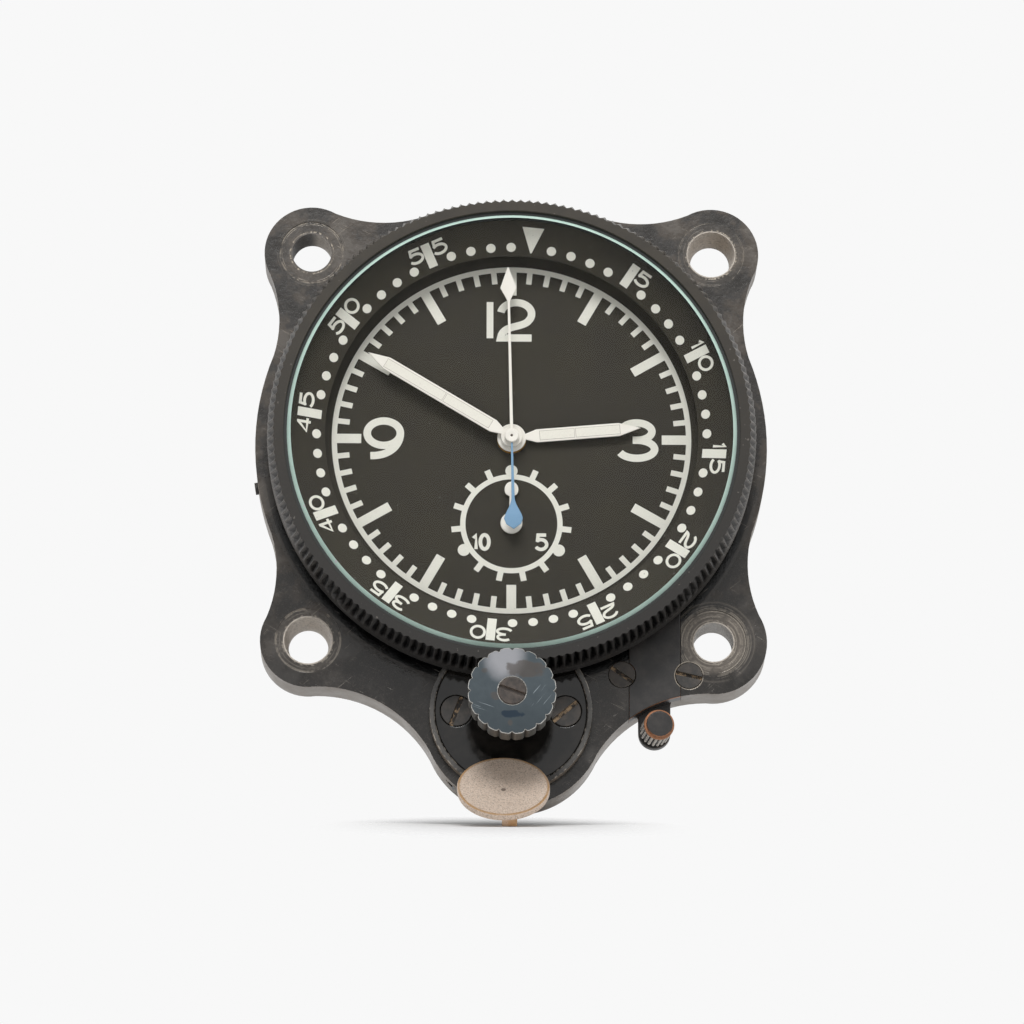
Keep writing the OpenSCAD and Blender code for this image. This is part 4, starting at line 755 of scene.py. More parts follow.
NODE_FINISH = {
    case_lacquer: ["case_body", "rear_cover"],
    cap_lacquer: ["boss_cap"],
    screw_steel: ["boss_cap_screws", "slot_cover_screws", "side_screw", "rear_cover_screws"],
    knob_screw_steel: ["knob_screw"],
    bezel_black: ["bezel_ring"],
    dial_black: ["dial", "minute_ring"],
    clear_glass: ["crystal"],
    seal_rubber: ["crystal_gasket", "rear_gasket"],
    knob_steel: ["winding_knob"],
    blasted_nickel: ["paddle_disc", "paddle_arm"],
    slide_black: ["setting_slide", "slot_cover", "slide_knob"],
    hand_cream: ["hour_hand", "minute_hand", "sweep_hand", "register_hand"],
    spring_steel: ["mainspring", "hairspring"],
    movement_brass: ["stem_wheel", "winding_idler_a", "winding_idler_b", "main_plate",
                     "plate_pillars", "rear_plate", "barrel_drum", "barrel_lid",
                     "intermediate_wheel", "centre_wheel", "third_wheel", "fourth_wheel",
                     "balance_wheel", "minute_wheel", "hour_wheel", "chrono_wheel",
                     "register_wheel", "chrono_bridge"],
    movement_steel: ["bezel_snap_ring", "winding_stem", "ratchet_wheel", "barrel_arbor",
                     "wheel_posts", "click", "paddle_pin", "movement_screws", "rear_plate_screws",
                     "chrono_bridge_screws", "escape_wheel", "pallet_fork", "cannon_pinion",
                     "chrono_runner"],
}


def only(obj):
    """Selects this object alone, in object mode."""
    if bpy.context.object and bpy.context.object.mode != "OBJECT":
        bpy.ops.object.mode_set(mode="OBJECT")
    bpy.ops.object.select_all(action="DESELECT")
    obj.select_set(True)
    bpy.context.view_layer.objects.active = obj
    return obj


def linked(name, data):
    """A new object in the scene, selected alone."""
    obj = bpy.data.objects.new(name, data)
    bpy.context.scene.collection.objects.link(obj)
    return only(obj)


def settle(obj):
    """Puts a piece that was drawn lying down, in millimetres, where it stands on the clock."""
    obj.matrix_world = STAND @ obj.matrix_world
    only(obj)
    bpy.ops.object.transform_apply(location=True, rotation=True, scale=True)
    return obj


def smooth(obj, degrees):
    """Smooth shading that keeps large flat faces flat."""
    only(obj)
    bpy.ops.object.shade_smooth_by_angle(angle=math.radians(degrees))
    bpy.ops.object.modifier_add(type="WEIGHTED_NORMAL")
    modifier = obj.modifiers[-1]
    modifier.weight, modifier.keep_sharp = 100, True
    bpy.ops.object.modifier_apply(modifier=modifier.name)
    return obj


def dress(obj, recipe, body, slot, *replaced):
    """Gives a finished piece its material and body, and hides the solids that it stands for. The
    slot is not used.
    """
    obj.data.materials.clear()
    obj.data.materials.append(finish(recipe))
    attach(obj, body)
    if replaced:
        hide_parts(*replaced)
    return obj


def pick(obj, test, kind):
    """Selects the edges or vertices that pass a test, in edit mode."""
    only(obj)
    bpy.ops.object.mode_set(mode="EDIT")
    bpy.ops.mesh.select_mode(type=kind)
    bpy.ops.mesh.select_all(action="DESELECT")
    mesh = bmesh.from_edit_mesh(obj.data)
    for item in {"EDGE": mesh.edges, "VERT": mesh.verts}[kind]:
        if test(item):
            item.select_set(True)
    mesh.select_flush_mode()
    bmesh.update_edit_mesh(obj.data)


def done_editing():
    bpy.ops.object.mode_set(mode="OBJECT")


def close_up():
    """Merges the doubles of the piece in edit mode and turns all its faces outwards."""
    bpy.ops.mesh.select_all(action="SELECT")
    bpy.ops.mesh.remove_doubles(threshold=0.0005)
    bpy.ops.mesh.normals_make_consistent(inside=False)
    done_editing()


def draw_in(obj, test, r, depth):
    """Draws the vertices that pass a test towards the axis, those at a radius by this depth."""
    pick(obj, test, "VERT")
    share = (r - depth) / r
    bpy.ops.transform.resize(value=(share, share, 1), center_override=(0, 0, 0))
    done_editing()


def cast_copy(node, name):
    """A merged copy of a solid's mesh, lying down and in millimetres, with its flat faces whole."""
    obj = linked(name, NODES[node].data.copy())
    obj.data.transform(STAND.inverted())
    bpy.ops.object.mode_set(mode="EDIT")
    bpy.ops.mesh.select_all(action="SELECT")
    bpy.ops.mesh.remove_doubles(threshold=0.002)
    bpy.ops.mesh.customdata_custom_splitnormals_clear()
    bpy.ops.mesh.dissolve_limited(angle_limit=math.radians(0.4))
    done_editing()
    return obj


def round_edges(obj, width, segments, test):
    """Rounds the sharp edges whose middle passes the test."""
    def sharp(edge):
        if len(edge.link_faces) != 2 or edge.calc_face_angle(0) < 0.5:
            return False
        return test((edge.verts[0].co + edge.verts[1].co) / 2)
    pick(obj, sharp, "EDGE")
    bpy.ops.mesh.bevel(offset=width, segments=segments, profile=0.5, clamp_overlap=True)
    done_editing()


def spun(name, profile, steps, level=0):
    """A turned piece: a profile of (radius, height above a level) points is spun round the axis."""
    mesh = bpy.data.meshes.new(name)
    points = [(r, 0, level + z) for r, z in profile]
    mesh.from_pydata(points, [(i, i + 1) for i in range(len(points) - 1)], [])
    obj = linked(name, mesh)
    bpy.ops.object.mode_set(mode="EDIT")
    bpy.ops.mesh.select_all(action="SELECT")
    bpy.ops.mesh.spin(steps=steps, angle=2 * math.pi, center=(0, 0, 0), axis=(0, 0, 1))
    close_up()
    return obj


def plate(name, outlines, level, thickness, rounding=0.0):
    """A flat piece from closed outlines; an outline inside another is a hole."""
    curve = bpy.data.curves.new(name, "CURVE")
    curve.dimensions = "2D"
    curve.fill_mode = "BOTH"
    curve.extrude = thickness / 2 - rounding
    curve.bevel_depth = rounding
    curve.bevel_resolution = 2
    curve.offset = -rounding
    for outline in outlines:
        spline = curve.splines.new("POLY")
        spline.points.add(len(outline) - 1)
        for point, (x, y) in zip(spline.points, outline):
            point.co = (x, y, 0, 1)
        spline.use_cyclic_u = True
    obj = linked(name, curve)
    bpy.ops.object.convert(target="MESH")
    obj = bpy.context.object
    bpy.ops.object.mode_set(mode="EDIT")
    close_up()
    obj.data.transform(Matrix.Translation((0, 0, level + thickness / 2)))
    return obj


def joined(name, pieces):
    """Several pieces as one object."""
    only(pieces[0])
    for piece in pieces[1:]:
        piece.select_set(True)
    bpy.ops.object.join()
    obj = bpy.context.object
    obj.name = obj.data.name = name
    return obj


def circle(x, y, r, n=48):
    turns = [2 * math.pi * i / n for i in range(n)]
    return [(x + r * math.cos(a), y + r * math.sin(a)) for a in turns]


def box(x0, x1, y0, y1):
    return [(x0, y0), (x1, y0), (x1, y1), (x0, y1)]


def turn(points, clockwise, centre=(0, 0)):
    """Points turned clockwise, as a clock counts, about a centre."""
    a = math.radians(-clockwise)
    c, s = math.cos(a), math.sin(a)
    return [(centre[0] + x * c - y * s, centre[1] + x * s + y * c) for x, y in points]


def arc(cx, cy, rx, ry, start, end, n):
    """Points of part of an oval, from one angle to another in degrees."""
    steps = [math.radians(start + (end - start) * i / n) for i in range(n + 1)]
    return [(cx + rx * math.cos(a), cy + ry * math.sin(a)) for a in steps]


def swing(a, b, c, d, n=12):
    """Points of a cubic curve."""
    made = []
    for i in range(n + 1):
        t = i / n
        w = ((1 - t) ** 3, 3 * t * (1 - t) ** 2, 3 * t * t * (1 - t), t ** 3)
        made.append(tuple(sum(k * p[j] for k, p in zip(w, (a, b, c, d))) for j in (0, 1)))
    return made


# Middle lines of the numerals in a box of 1 by 1. The second value says whether a line is closed,
# and "i" is a 1 with a flag.
NUMERALS = {
    "0": [(arc(0.5, 0.5, 0.5, 0.5, 0, 360, 40)[:-1], True)],
    "1": [([(0.5, 0), (0.5, 1)], False)],
    "2": [(arc(0.5, 0.68, 0.5, 0.32, 172, -38, 26)
           + swing((0.86, 0.45), (0.6, 0.28), (0.05, 0.36), (0.0, 0.0)) + [(1, 0)], False)],
    "3": [(arc(0.46, 0.755, 0.46, 0.245, 150, -90, 26), False),
          ([(0.34, 0.51), (0.52, 0.51)], False),
          (arc(0.46, 0.255, 0.54, 0.255, 90, -158, 26), False)],
    "4": [([(0.72, 1), (0.0, 0.27), (1.0, 0.27)], False), ([(0.72, 1.08), (0.72, 0)], False)],
    "5": [([(0.95, 1), (0.2, 1), (0.13, 0.52)], False),
          (arc(0.47, 0.34, 0.53, 0.34, 140, -152, 26), False)],
    "i": [([(0.0, 0.76), (1.0, 1.0), (1.0, 0.0)], False)],
    "9": [(arc(0.5, 0.655, 0.5, 0.345, 0, 360, 40)[:-1], True),
          (swing((1.0, 0.66), (1.0, 0.3), (0.66, 0.0), (0.1, 0.02)), False)],
}


def ribbon(points, width, closed):
    """Outlines of a line drawn with a broad pen: one for an open line, two for a closed one."""
    n = len(points)
    left, right = [], []
    for i, (x, y) in enumerate(points):
        before = points[i - 1] if i or closed else None
        after = points[(i + 1) % n] if i < n - 1 or closed else None
        ways = []
        for a, b in ((before, (x, y)), ((x, y), after)):
            if a and b:
                d = math.hypot(b[0] - a[0], b[1] - a[1]) or 1.0
                ways.append((-(b[1] - a[1]) / d, (b[0] - a[0]) / d))
        nx = sum(w[0] for w in ways) / len(ways)
        ny = sum(w[1] for w in ways) / len(ways)
        reach = width / 2 / max(nx * nx + ny * ny, 0.3)
        left.append((x + nx * reach, y + ny * reach))
        right.append((x - nx * reach, y - ny * reach))
    return [left, right] if closed else [left + right[::-1]]


def numeral(digit, height, width, pen, x, y):
    """The pen lines of one numeral in a box centred at x, y; each line is a list of outlines."""
    left, low = x - width / 2 + pen / 2, y - height / 2 + pen / 2
    lines = []
    for points, closed in NUMERALS[digit]:
        middle = [(left + u * (width - pen), low + v * (height - pen)) for u, v in points]
        lines.append(ribbon(middle, pen, closed))
    return lines


def printed(name, layers, level, body, rise=None):
    """Paint in layers of outlines, each a little above the last; a rise lays it on a cone."""
    paint, step = sizes().paint_t, 0.003
    obj = joined(name, [plate(f"{name}_{i}", layer, level, paint + step * i)
                        for i, layer in enumerate(layers)])
    if rise:
        for vertex in obj.data.vertices:
            vertex.co.z += rise(vertex.co.xy.length)
    return dress(settle(obj), luminous_paint, body, "lume")


def layered(lines):
    """Pen lines of numerals sorted into layers, so that lines that cross are not in one layer."""
    depth = max(len(strokes) for strokes in lines)
    return [[outline for strokes in lines if len(strokes) > i for outline in strokes[i]]
            for i in range(depth)]


class CLOCK_OT_finishes(bpy.types.Operator):
    """Give every solid of the clock its finish"""
    bl_idname = "clock.finishes"
    bl_label = "Finishes of the solids"

    def execute(self, context):
        for recipe, nodes in NODE_FINISH.items():
            for node in nodes:
                NODES[node].data.materials.clear()
                NODES[node].data.materials.append(finish(recipe))
        return {"FINISHED"}


class CLOCK_OT_case(bpy.types.Operator):
    """Round the cast edges of the case"""
    bl_idname = "clock.case"
    bl_label = "Cast case"

    def execute(self, context):
        s = sizes()
        obj = cast_copy("case_body", "cast_case")
        hole_r, boss_outer, boss_inner, collar_r, boss_round = 6.2, 13.2, 11.4, 38.9, 0.36

        def level(point, z):
            return abs(point.z - z) < 0.02

        def outline(point):
            if not level(point, s.flange_front):
                return False
            hole = math.hypot(abs(point.x) - HOLE_AT, abs(point.y) - HOLE_AT)
            boss = math.hypot(point.x, point.y + s.boss_drop)
            slot = 16 < point.x < 29 and -52 < point.y < -28
            return (hole > hole_r and boss > boss_outer and not slot
                    and point.xy.length > collar_r)

        def boss_rim(point):
            boss = math.hypot(point.x, point.y + s.boss_drop)
            return level(point, s.boss_front) and boss > boss_inner

        round_edges(obj, s.flange_round, 4, outline)
        round_edges(obj, boss_round, 4, boss_rim)
        dress(smooth(settle(obj), 40), case_lacquer, "case", "black_paint", "case_body")
        return {"FINISHED"}


class CLOCK_OT_fittings(bpy.types.Operator):
    """Round the edges of the boss cap, the slot cover, the slide and the screws in the front"""
    bl_idname = "clock.fittings"
    bl_label = "Front fittings"

    def execute(self, context):
        for node, name, recipe, body, slot, width in (
            ("boss_cap", "rounded_cap", cap_lacquer, "case", "black_paint", 0.18),
            ("slot_cover", "rounded_cover", slide_black, "case", "black_paint", 0.12),
            ("setting_slide", "rounded_slide", slide_black, "setting", "slide_copper", 0.2),
            ("boss_cap_screws", "rounded_cap_screws", screw_steel, "case", "black_screws", 0.1),
            ("slot_cover_screws", "rounded_slot_screws", screw_steel, "case", "black_screws", 0.1),
            ("knob_screw", "rounded_knob_screw", knob_screw_steel, "winder", "black_screws", 0.1),
        ):
            obj = cast_copy(node, name)
            front = max(v.co.z for v in obj.data.vertices)
            round_edges(obj, width, 2, lambda point: point.z > front - 0.02)
            dress(smooth(settle(obj), 40), recipe, body, slot, node)
            if recipe is screw_steel:
                obj.data.materials.append(finish(slot_brass))
                for face in obj.data.polygons:
                    deep = front + face.center.y / MM
                    if face.normal.y < -0.9 and 0.15 < deep < 0.8:
                        face.material_index = 1
        return {"FINISHED"}


class CLOCK_OT_bezel(bpy.types.Operator):
    """Model the toothed bezel with its bevelled teeth"""
    bl_idname = "clock.bezel"
    bl_label = "Toothed bezel"

    def execute(self, context):
        s = sizes()
        top, seat, tip = s.bezel_front, s.seat_r, s.bezel_r
        flat, shoulder = tip - s.bezel_bevel, top - s.bezel_slope
        skirt, bore, groove, lip = 37.0, 35.08, 35.6, 33.7
        teeth_end, back, skirt_end, ledge = 12.2, 9.3, 7.0, 10.9
        profile = [(seat, ledge), (seat, top - 0.1), (seat + 0.1, top), (flat - 0.06, top),
                   (flat, top - 0.05), (tip - 0.12, shoulder + 0.3), (tip, shoulder),
                   (tip, teeth_end), (tip, back + 0.2), (tip - 0.25, back), (skirt, back),
                   (skirt, skirt_end), (bore, skirt_end), (bore, 7.75), (groove, 7.75),
                   (groove, 8.85), (bore, 8.85), (bore, 10.0), (lip, 10.0), (lip, ledge),
                   (seat, ledge)]
        obj = spun("toothed_bezel", profile, 2 * s.bezel_teeth)
        step = math.pi / s.bezel_teeth

        def root(vertex):
            return round(math.atan2(vertex.co.y, vertex.co.x) / step) % 2 == 1

        def notch(vertex):
            return root(vertex) and vertex.co.z > top - 0.1 and vertex.co.xy.length > flat - 0.1

        def flank(vertex):
            r, z = vertex.co.xy.length, vertex.co.z
            return root(vertex) and r > flat + 0.05 and z > teeth_end + 0.1

        draw_in(obj, notch, tip, 0.28)
        draw_in(obj, flank, tip, s.bezel_tooth)
        dress(smooth(settle(obj), 15), bezel_black, "bezel", "bezel_paint", "bezel_ring")
        return {"FINISHED"}


class CLOCK_OT_glass(bpy.types.Operator):
    """Model the thick glass with its ground bevel"""
    bl_idname = "clock.glass"
    bl_label = "Glass"

    def execute(self, context):
        s = sizes()
        rear, front = s.glass_rear, s.glass_rear + s.glass_t
        r, bevel = s.glass_r, s.glass_bevel
        profile = [(0, rear), (r, rear), (r, front - bevel), (r - bevel, front), (0, front)]
        obj = smooth(settle(spun("thick_glass", profile, 180)), 25)
        dress(obj, clear_glass, "bezel", "crystal", "crystal")
        obj.data.materials.append(finish(ground_edge))
        for face in obj.data.polygons:
            face.material_index = 0 if abs(face.normal.y) > 0.95 else 1
        return {"FINISHED"}


class CLOCK_OT_dial_print(bpy.types.Operator):
    """Print the minute track, the hour marks, the numerals and the register"""
    bl_idname = "clock.dial_print"
    bl_label = "Dial printing"

    def execute(self, context):
        s = sizes()
        inner = s.track_r - s.track_w
        track = [circle(0, 0, s.track_r, 180), circle(0, 0, inner, 180)]
        marks = []
        for minute in range(60):
            hour, quarter = minute % 5 == 0, minute % 15 == 0
            reach = 4.6 if quarter else 6.2 if hour else 2.65
            half = 0.75 if hour else 0.43
            marks.append(turn(box(-half, half, s.track_r - reach, inner + 0.1), minute * 6))
        lines = [numeral("1", 6.95, 1.05, 1.05, -3.4, 19.35),
                 numeral("2", 6.95, 6.0, 1.18, 0.7, 19.35),
                 numeral("3", 6.9, 6.35, 1.18, 19.7, -0.1),
                 numeral("9", 6.9, 6.35, 1.18, -19.9, 0)]
        centre = (0, -s.register_drop)
        r = s.register_r
        rim = [circle(*centre, r, 120), circle(*centre, r - 0.82, 120)]
        for tick in range(15):
            if tick % 5:
                marks.append(turn(box(-0.46, 0.46, r - 0.1, r + 1.4), tick * 24, centre))
            else:
                dot = turn([(0, r + 0.55)], tick * 24, centre)[0]
                marks.append(circle(*dot, 0.95))
        low = -s.register_drop - 2.95
        lines += [numeral("5", 2.85, 2.2, 0.55, 4.65, low),
                  numeral("i", 2.85, 0.95, 0.55, -5.68, low),
                  numeral("0", 2.85, 1.9, 0.58, -4.15, low)]
        printed("dial_printing", [track + rim, marks, *layered(lines)], s.dial_front, "case")
        return {"FINISHED"}


class CLOCK_OT_ring_print(bpy.types.Operator):
    """Print the turning minute ring under the glass"""
    bl_idname = "clock.ring_print"
    bl_label = "Ring printing"

    def execute(self, context):
        s = sizes()
        bar_start, bar_end, arrow_start, dot_r, numeral_r = 29.7, 33.4, 29.55, 30.3, 32.2
        dot = [(0.74 * x, dot_r + 0.68 * y) for x, y in circle(0, 0, 1, 28)]
        arrow = [(-1.72, bar_end), (1.72, bar_end), (0.1, arrow_start), (-0.1, arrow_start)]
        marks, lines = [], []
        for minute in range(1, 60):
            at = s.ring_turn + minute * 6
            if minute % 5:
                marks.append(turn(dot, at))
                continue
            marks.append(turn(box(-0.71, 0.71, bar_start, bar_end), at))
            for place, digit in enumerate(str(minute)[::-1]):
                shape = (digit, 2.38, 2.5, 0.42, -2.0 if place else 2.0)
                if digit == "1":
                    shape = ("i", 2.3, 0.86, 0.42, -1.42)
                lines.append([[turn(outline, at) for outline in stroke]
                              for stroke in numeral(*shape, numeral_r)])
        marks.append(turn(arrow, s.ring_turn))
        slope = s.ring_rise / (s.ring_shoulder - s.ring_bore)
        printed("ring_printing", [marks, *layered(lines)], -0.005, "bezel",
                lambda r: s.ring_low + (r - s.ring_bore) * slope)
        return {"FINISHED"}


# thickness and rounding of the hands' blades
BROAD_BLADE = (0.4, 0.07)
THIN_BLADE = (0.3, 0.05)


def baton(reach, width, hub):
    """Outline of a baton hand that points up the dial."""
    neck, half = 0.47, width / 2
    side = [(neck, 0), (neck, hub), (half, hub + 1.7), (half, reach - 3.4)]
    return [(-x, y) for x, y in side] + [(0, reach)] + side[::-1]


class CLOCK_OT_hands(bpy.types.Operator):
    """Model the hands with their luminous filling"""
    bl_idname = "clock.hands"
    bl_label = "Hands"

    def execute(self, context):
        s = sizes()
        dial = s.dial_front
        self.baton_hand(s, "hour", s.hour_len, dial + 1.05, 85.1, 2.23)
        self.baton_hand(s, "minute", s.minute_len, dial + 2.05, 301.2, 1.66)
        self.sweep_hand(s, dial + 3.05)
        self.register_hand(s, dial + 0.45)
        return {"FINISHED"}

    def baton_hand(self, s, name, reach, level, clock, hub):
        """A broad hand at a clock angle in degrees, with its hub, its fine line and its filling."""
        bore, thick = 0.9, 0.42
        profile = [(bore, 0), (hub - 0.05, 0), (hub, 0.06), (hub, thick - 0.08),
                   (hub - 0.08, thick), (bore, thick)]
        turned_hub = spun(f"{name}_hub", profile, 64, level)
        outline = turn(baton(reach, s.hand_w, hub), clock)
        blade = plate(f"{name}_blade", [outline], level, *BROAD_BLADE)
        obj = joined(f"{name}_baton", [blade, turned_hub])
        dress(smooth(settle(obj), 30), hand_cream, name, "lume", f"{name}_hand")
        start, end, gap = hub + 2.2, reach - 3.3, 0.14
        middle = start + (end - start) * 0.44
        for kind, recipe, margin, grow, t in (("line", hand_line, 0.28, 0.08, 0.055),
                                              ("filling", hand_lume, 0.36, 0, 0.07)):
            half = s.hand_w / 2 - margin
            fills = [turn(box(-half, half, start - grow, middle - gap + grow), clock),
                     turn(box(-half, half, middle + gap - grow, end + grow), clock)]
            dress(settle(plate(f"{name}_{kind}", fills, level + 0.36, t)), recipe, name, "lume")

    def sweep_hand(self, s, level):
        """The thin hand with its arrow, its collar, the centre pin and the blue tail."""
        top, end, lean = s.sweep_len, -s.tail_len, -1.3
        side = [(0.25, 0.4), (0.19, top - 5.6), (0.5, top - 4.9), (1.28, top - 3.4), (0.08, top)]
        outline = turn([(-x, y) for x, y in side] + side[::-1], lean)
        blade = plate("sweep_blade", [outline], level, *THIN_BLADE)
        profile = [(0.2, -0.2), (1.07, -0.2), (1.13, -0.1), (1.13, 0.5), (0.98, 0.66),
                   (0.35, 0.68), (0.2, 0.6)]
        obj = joined("sweep_baton", [blade, spun("sweep_collar", profile, 48, level)])
        dress(smooth(settle(obj), 30), hand_cream, "sweep", "lume", "sweep_hand")
        profile = [(0, 0.62), (0.2, 0.62), (0.23, 0.55), (0.23, 0.3)]
        pin = spun("centre_pin", profile, 24, level)
        dress(smooth(settle(pin), 30), knob_screw_steel, "sweep", "brass")
        drop = [(0.14, -0.6)] + swing((0.25, end + 4.9), (0.4, end + 3.6),
                                      (1.2, end + 2.9), (1.46, end + 1.7))
        drop += [(1.14, end + 0.8), (0, end)]
        outline = turn(drop + [(-x, y) for x, y in drop[-2::-1]], lean)
        blue = plate("sweep_tail", [outline], level, *THIN_BLADE)
        dress(smooth(settle(blue), 30), blued_steel, "sweep", "blued_steel")

    def register_hand(self, s, level):
        """The small hand with its rounded arrow."""
        centre, top = (0, -s.register_drop), s.register_len
        shape = [(-0.42, 0), (-0.3, top - 2.5)]
        shape += arc(0, top - 1.4, 1.07, 1.25, 218, 96, 14) + [(0, top)]
        shape += arc(0, top - 1.4, 1.07, 1.25, 84, -38, 14)
        shape += [(0.3, top - 2.5), (0.42, 0)]
        blade = plate("register_blade", [turn(shape, 0, centre)], level, *THIN_BLADE)
        profile = [(0, 0), (1.65, 0), (1.7, 0.08), (1.7, 0.3), (1.58, 0.4), (0, 0.42)]
        hub = spun("register_hub", profile, 48, level)
        hub.data.transform(Matrix.Translation((*centre, 0)))
        obj = joined("register_baton", [blade, hub])
        dress(smooth(settle(obj), 30), hand_cream, "register", "lume", "register_hand")


def fluted(name, profile, flutes, r, depths, top):
    """A turned piece with flutes in its outer face below a level.

    The depths go from the middle of a flute to its side.
    """
    parts = 8
    steps = flutes * parts
    obj = spun(name, profile, steps)
    for part, depth in enumerate(depths):
        def flute(vertex, part=part):
            at = round(math.atan2(vertex.co.y, vertex.co.x) / (2 * math.pi / steps)) % parts
            outer = vertex.co.xy.length > r * 0.95 and vertex.co.z < top
            return outer and min(at, parts - at) == part
        draw_in(obj, flute, r, depth)
    return obj


class CLOCK_OT_knob(bpy.types.Operator):
    """Model the fluted winding knob"""
    bl_idname = "clock.knob"
    bl_label = "Winding knob"

    def execute(self, context):
        s = sizes()
        back, front, r = s.knob_back, s.knob_back + s.knob_t, s.knob_r
        bore, recess, neck, foot = 1.5, 2.15, 2.9, 8.6
        profile = [(bore, front - 1.6), (recess, front - 1.6), (recess, front - 0.12), (2.3, front),
                   (r - 0.6, front), (r - 0.1, front), (r, front - 0.1),
                   (r, back + 0.6), (r - 0.4, back + 0.1), (r - 0.8, back), (neck, back),
                   (neck, foot), (bore, foot)]
        obj = fluted("fluted_knob", profile, s.knob_flutes, r, (0.4, 0.12), front + 1)
        obj.data.transform(Matrix.Translation((0, -s.boss_drop, 0)))
        dress(smooth(settle(obj), 32), knob_steel, "winder", "knob_steel", "winding_knob")
        return {"FINISHED"}


class CLOCK_OT_slide_knob(bpy.types.Operator):
    """Model the ribbed knob of the setting slide"""
    bl_idname = "clock.slide_knob"
    bl_label = "Slide knob"

    def execute(self, context):
        s = sizes()
        r, top, ribs = s.slide_knob_r, s.slide_knob_h - 0.8, 20
        collar = top - 0.42
        profile = [(0, -0.3), (r - 0.5, -0.3), (r - 0.5, 0.6), (r, 0.6), (r, collar - 0.02),
                   (r, collar), (r, top - 0.1), (r - 0.1, top), (r - 0.3, top + 0.06),
                   (r - 0.32, top + 0.42), (r - 0.42, top + 0.5), (0, top + 0.5)]
        obj = fluted("ribbed_knob", profile, ribs, r, (0.26, 0.18, 0.06), collar - 0.01)
        dress(obj, slide_black, "setting", "slide_copper", "slide_knob")
        obj.data.materials.append(finish(slide_rim))
        obj.data.materials.append(finish(slide_ribs))
        for face in obj.data.polygons:
            spot = face.center
            if spot.z > collar:
                face.material_index = 1 if spot.xy.length > r - 0.34 else 0
            elif spot.xy.length > r - 0.4:
                face.material_index = 2
        lean = Matrix.Rotation(math.radians(s.slide_knob_lean), 4, "Y")
        foot = Vector((s.slide_x, -s.slide_knob_y, slide_knob_foot(s)))
        obj.data.transform(Matrix.Translation(foot) @ lean)
        smooth(settle(obj), 30)
        return {"FINISHED"}


class CLOCK_OT_paddle(bpy.types.Operator):
    """Model the dished thumb paddle"""
    bl_idname = "clock.paddle"
    bl_label = "Thumb paddle"

    def execute(self, context):
        s = sizes()
        r, t, dish = s.paddle_r, s.paddle_t, s.paddle_dish
        profile = [(0, -t), (r - 0.25, -t), (r - 0.06, -t + 0.1), (r, -t + 0.3), (r, -0.22),
                   (r - 0.1, -0.04), (r - 0.3, -0.03), (r - 0.5, -0.1), (0.45, -dish),
                   (0.2, -dish - 0.12), (0, -dish - 0.14)]
        obj = spun("dished_paddle", profile, 96)
        lean = Matrix.Rotation(math.radians(-s.paddle_lean), 4, "X")
        obj.data.transform(Matrix.Translation(PADDLE_AT) @ lean)
        dress(smooth(settle(obj), 35), blasted_nickel, "paddle", "paddle_nickel", "paddle_disc")
        return {"FINISHED"}


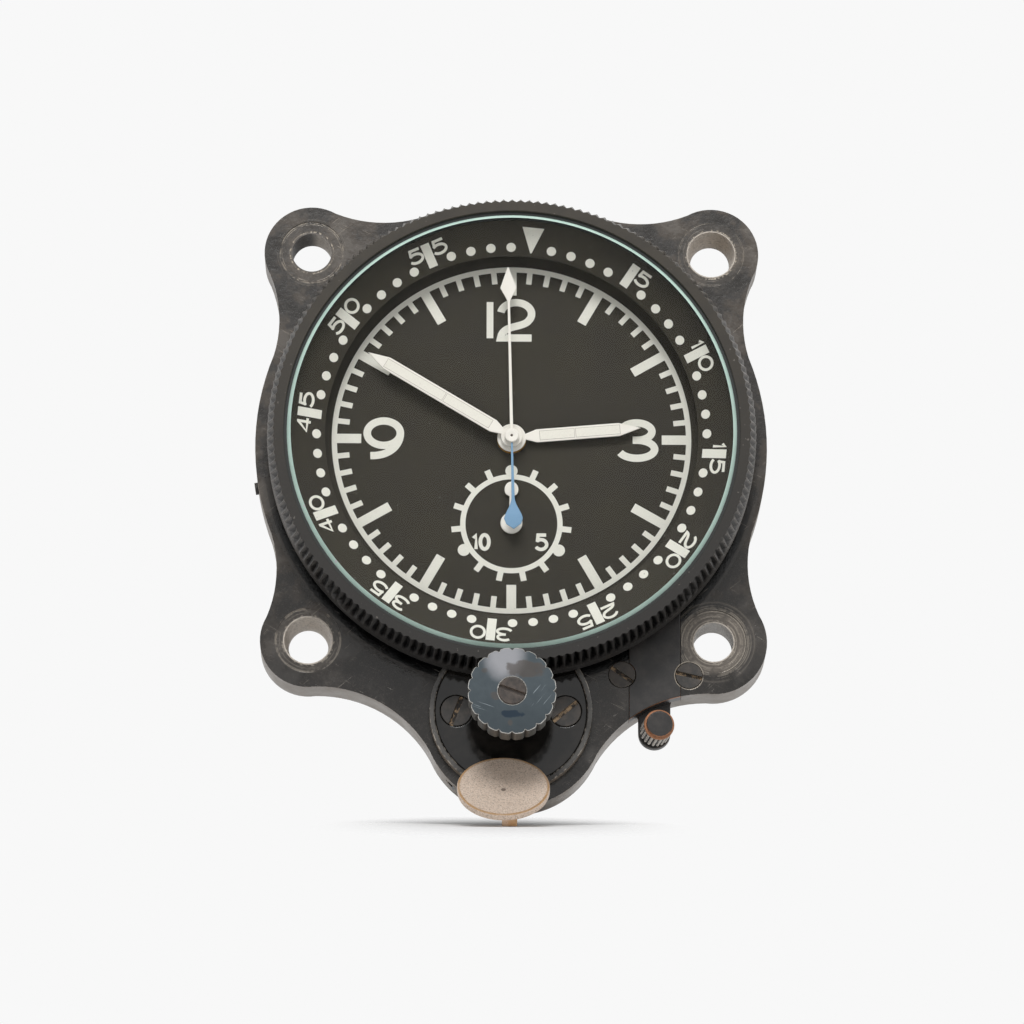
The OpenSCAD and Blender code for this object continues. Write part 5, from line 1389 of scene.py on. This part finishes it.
class CLOCK_OT_stage(bpy.types.Operator):
    """Set the floor, the backdrop, the lamps and the camera"""
    bl_idname = "clock.stage"
    bl_label = "Stage"

    def execute(self, context):
        self.floor()
        self.world()
        self.lamps()
        self.camera()
        context.scene.view_settings.view_transform = "Standard"
        return {"FINISHED"}

    def floor(self):
        """The floor, seen almost edge on, touches the lowest place of the leaning clock."""
        slope = math.radians(FLOOR_SLOPE)
        up = Vector((0, -math.sin(slope), math.cos(slope)))
        foot = min((v.co for node in NODES.values() for v in node.data.vertices), key=up.dot)
        bpy.ops.mesh.primitive_plane_add(size=1.6, location=foot - up * 0.1 * MM,
                                         rotation=(slope, 0, 0))
        floor = bpy.context.object
        floor.name = "floor"
        f = Finish(bpy.data.materials.new("stage_floor"))
        x, y, _ = f.split(f.place())
        far = ((x * x + y * y * 0.1) ** 0.5).band(0.004, 0.030)
        under = f.node("ShaderNodeNewGeometry", out="Backfacing")
        lit = f.node("ShaderNodeBsdfDiffuse", None, {"Color": grey(0.85)})
        none = f.node("ShaderNodeBsdfTransparent")
        faded = f.node("ShaderNodeMixShader", None, {0: far.most(under), 1: lit, 2: none})
        floor.data.materials.append(f.show(faded))

    def world(self):
        """Even light, with a pale ground for the camera, for mirrors and through the glass."""
        world = bpy.data.worlds.new("studio")
        bpy.context.scene.world = world
        f = Finish(world)
        seen = f.ray("Camera").most(f.ray("Transmission"))
        mirrored = f.ray("Glossy")
        _, y, z = f.split(f.node("ShaderNodeTexCoord", out="Generated"))
        front = (z * 0.35 - y).band(0.35, 0.95)
        dim = f.mix(front, grey(1.0), grey(0.9))
        tone = f.mix(seen, f.mix(mirrored, grey(0.52), dim), shade("stage"))
        f.show(f.node("ShaderNodeBackground", None, {"Color": tone, "Strength": 1.0}))

    def lamps(self):
        """Soft round lamps that point at the dial."""
        for name, place, size, power in (("key", (-0.0625, -0.946, 0.816), 0.55, 9.0),
                                         ("fill", (0.9, -0.5, 0.35), 0.8, 1.0),
                                         ("back", (0.1, 0.9, 0.9), 0.9, 1.0)):
            lamp = bpy.data.lights.new(name, "AREA")
            lamp.shape, lamp.size, lamp.energy = "DISK", size, power
            obj = bpy.data.objects.new(name, lamp)
            bpy.context.scene.collection.objects.link(obj)
            obj.location = place
            obj.rotation_euler = (-Vector(place)).to_track_quat("-Z", "Y").to_euler()

    def camera(self):
        """A long lens one metre off, below the dial's axis."""
        data = bpy.data.cameras.new("view")
        data.lens, data.sensor_width = 225.56, 36
        data.clip_start, data.clip_end = 0.05, 20
        obj = bpy.data.objects.new("view", data)
        bpy.context.scene.collection.objects.link(obj)
        up, yaw, roll = (math.radians(a) for a in (-15.085, -0.768, 0.095))
        aim = Vector((0.000142, -0.0065, -0.010714))
        back = Vector((math.sin(yaw) * math.cos(up), -math.cos(yaw) * math.cos(up), math.sin(up)))
        obj.location = aim + back
        obj.rotation_mode = "QUATERNION"
        turned = (-back).to_track_quat("-Z", "Y") @ Matrix.Rotation(roll, 4, "Z").to_quaternion()
        obj.rotation_quaternion = turned
        bpy.context.scene.camera = obj


PIECES = (CLOCK_OT_finishes, CLOCK_OT_case, CLOCK_OT_fittings, CLOCK_OT_bezel, CLOCK_OT_glass,
          CLOCK_OT_dial_print, CLOCK_OT_ring_print, CLOCK_OT_hands, CLOCK_OT_knob,
          CLOCK_OT_slide_knob, CLOCK_OT_paddle, CLOCK_OT_stage)


class CLOCK_PT_panel(bpy.types.Panel):
    """Lists the clock's pieces and their sizes and colours"""
    bl_label = "Clock"
    bl_idname = "CLOCK_PT_panel"
    bl_space_type = "VIEW_3D"
    bl_region_type = "UI"
    bl_category = "Clock"

    def draw(self, context):
        for piece in PIECES:
            self.layout.operator(piece.bl_idname)
        for group in (context.scene.clock_sizes, context.scene.clock_colours):
            column = self.layout.column()
            for key in group.bl_rna.properties.keys():
                if key not in ("rna_type", "name"):
                    column.prop(group, key)


CLASSES = (ClockSizes, ClockColours, *PIECES, CLOCK_PT_panel)


def register():
    for cls in CLASSES:
        bpy.utils.register_class(cls)
    bpy.types.Scene.clock_sizes = PointerProperty(type=ClockSizes)
    bpy.types.Scene.clock_colours = PointerProperty(type=ClockColours)


def unregister():
    del bpy.types.Scene.clock_colours
    del bpy.types.Scene.clock_sizes
    for cls in reversed(CLASSES):
        bpy.utils.unregister_class(cls)


def main():
    register()
    bpy.ops.clock.finishes()
    bpy.ops.clock.case()
    bpy.ops.clock.fittings()
    bpy.ops.clock.bezel()
    bpy.ops.clock.glass()
    bpy.ops.clock.dial_print()
    bpy.ops.clock.ring_print()
    bpy.ops.clock.hands()
    bpy.ops.clock.knob()
    bpy.ops.clock.slide_knob()
    bpy.ops.clock.paddle()
    bpy.ops.clock.stage()


if __name__ == "__main__":
    main()
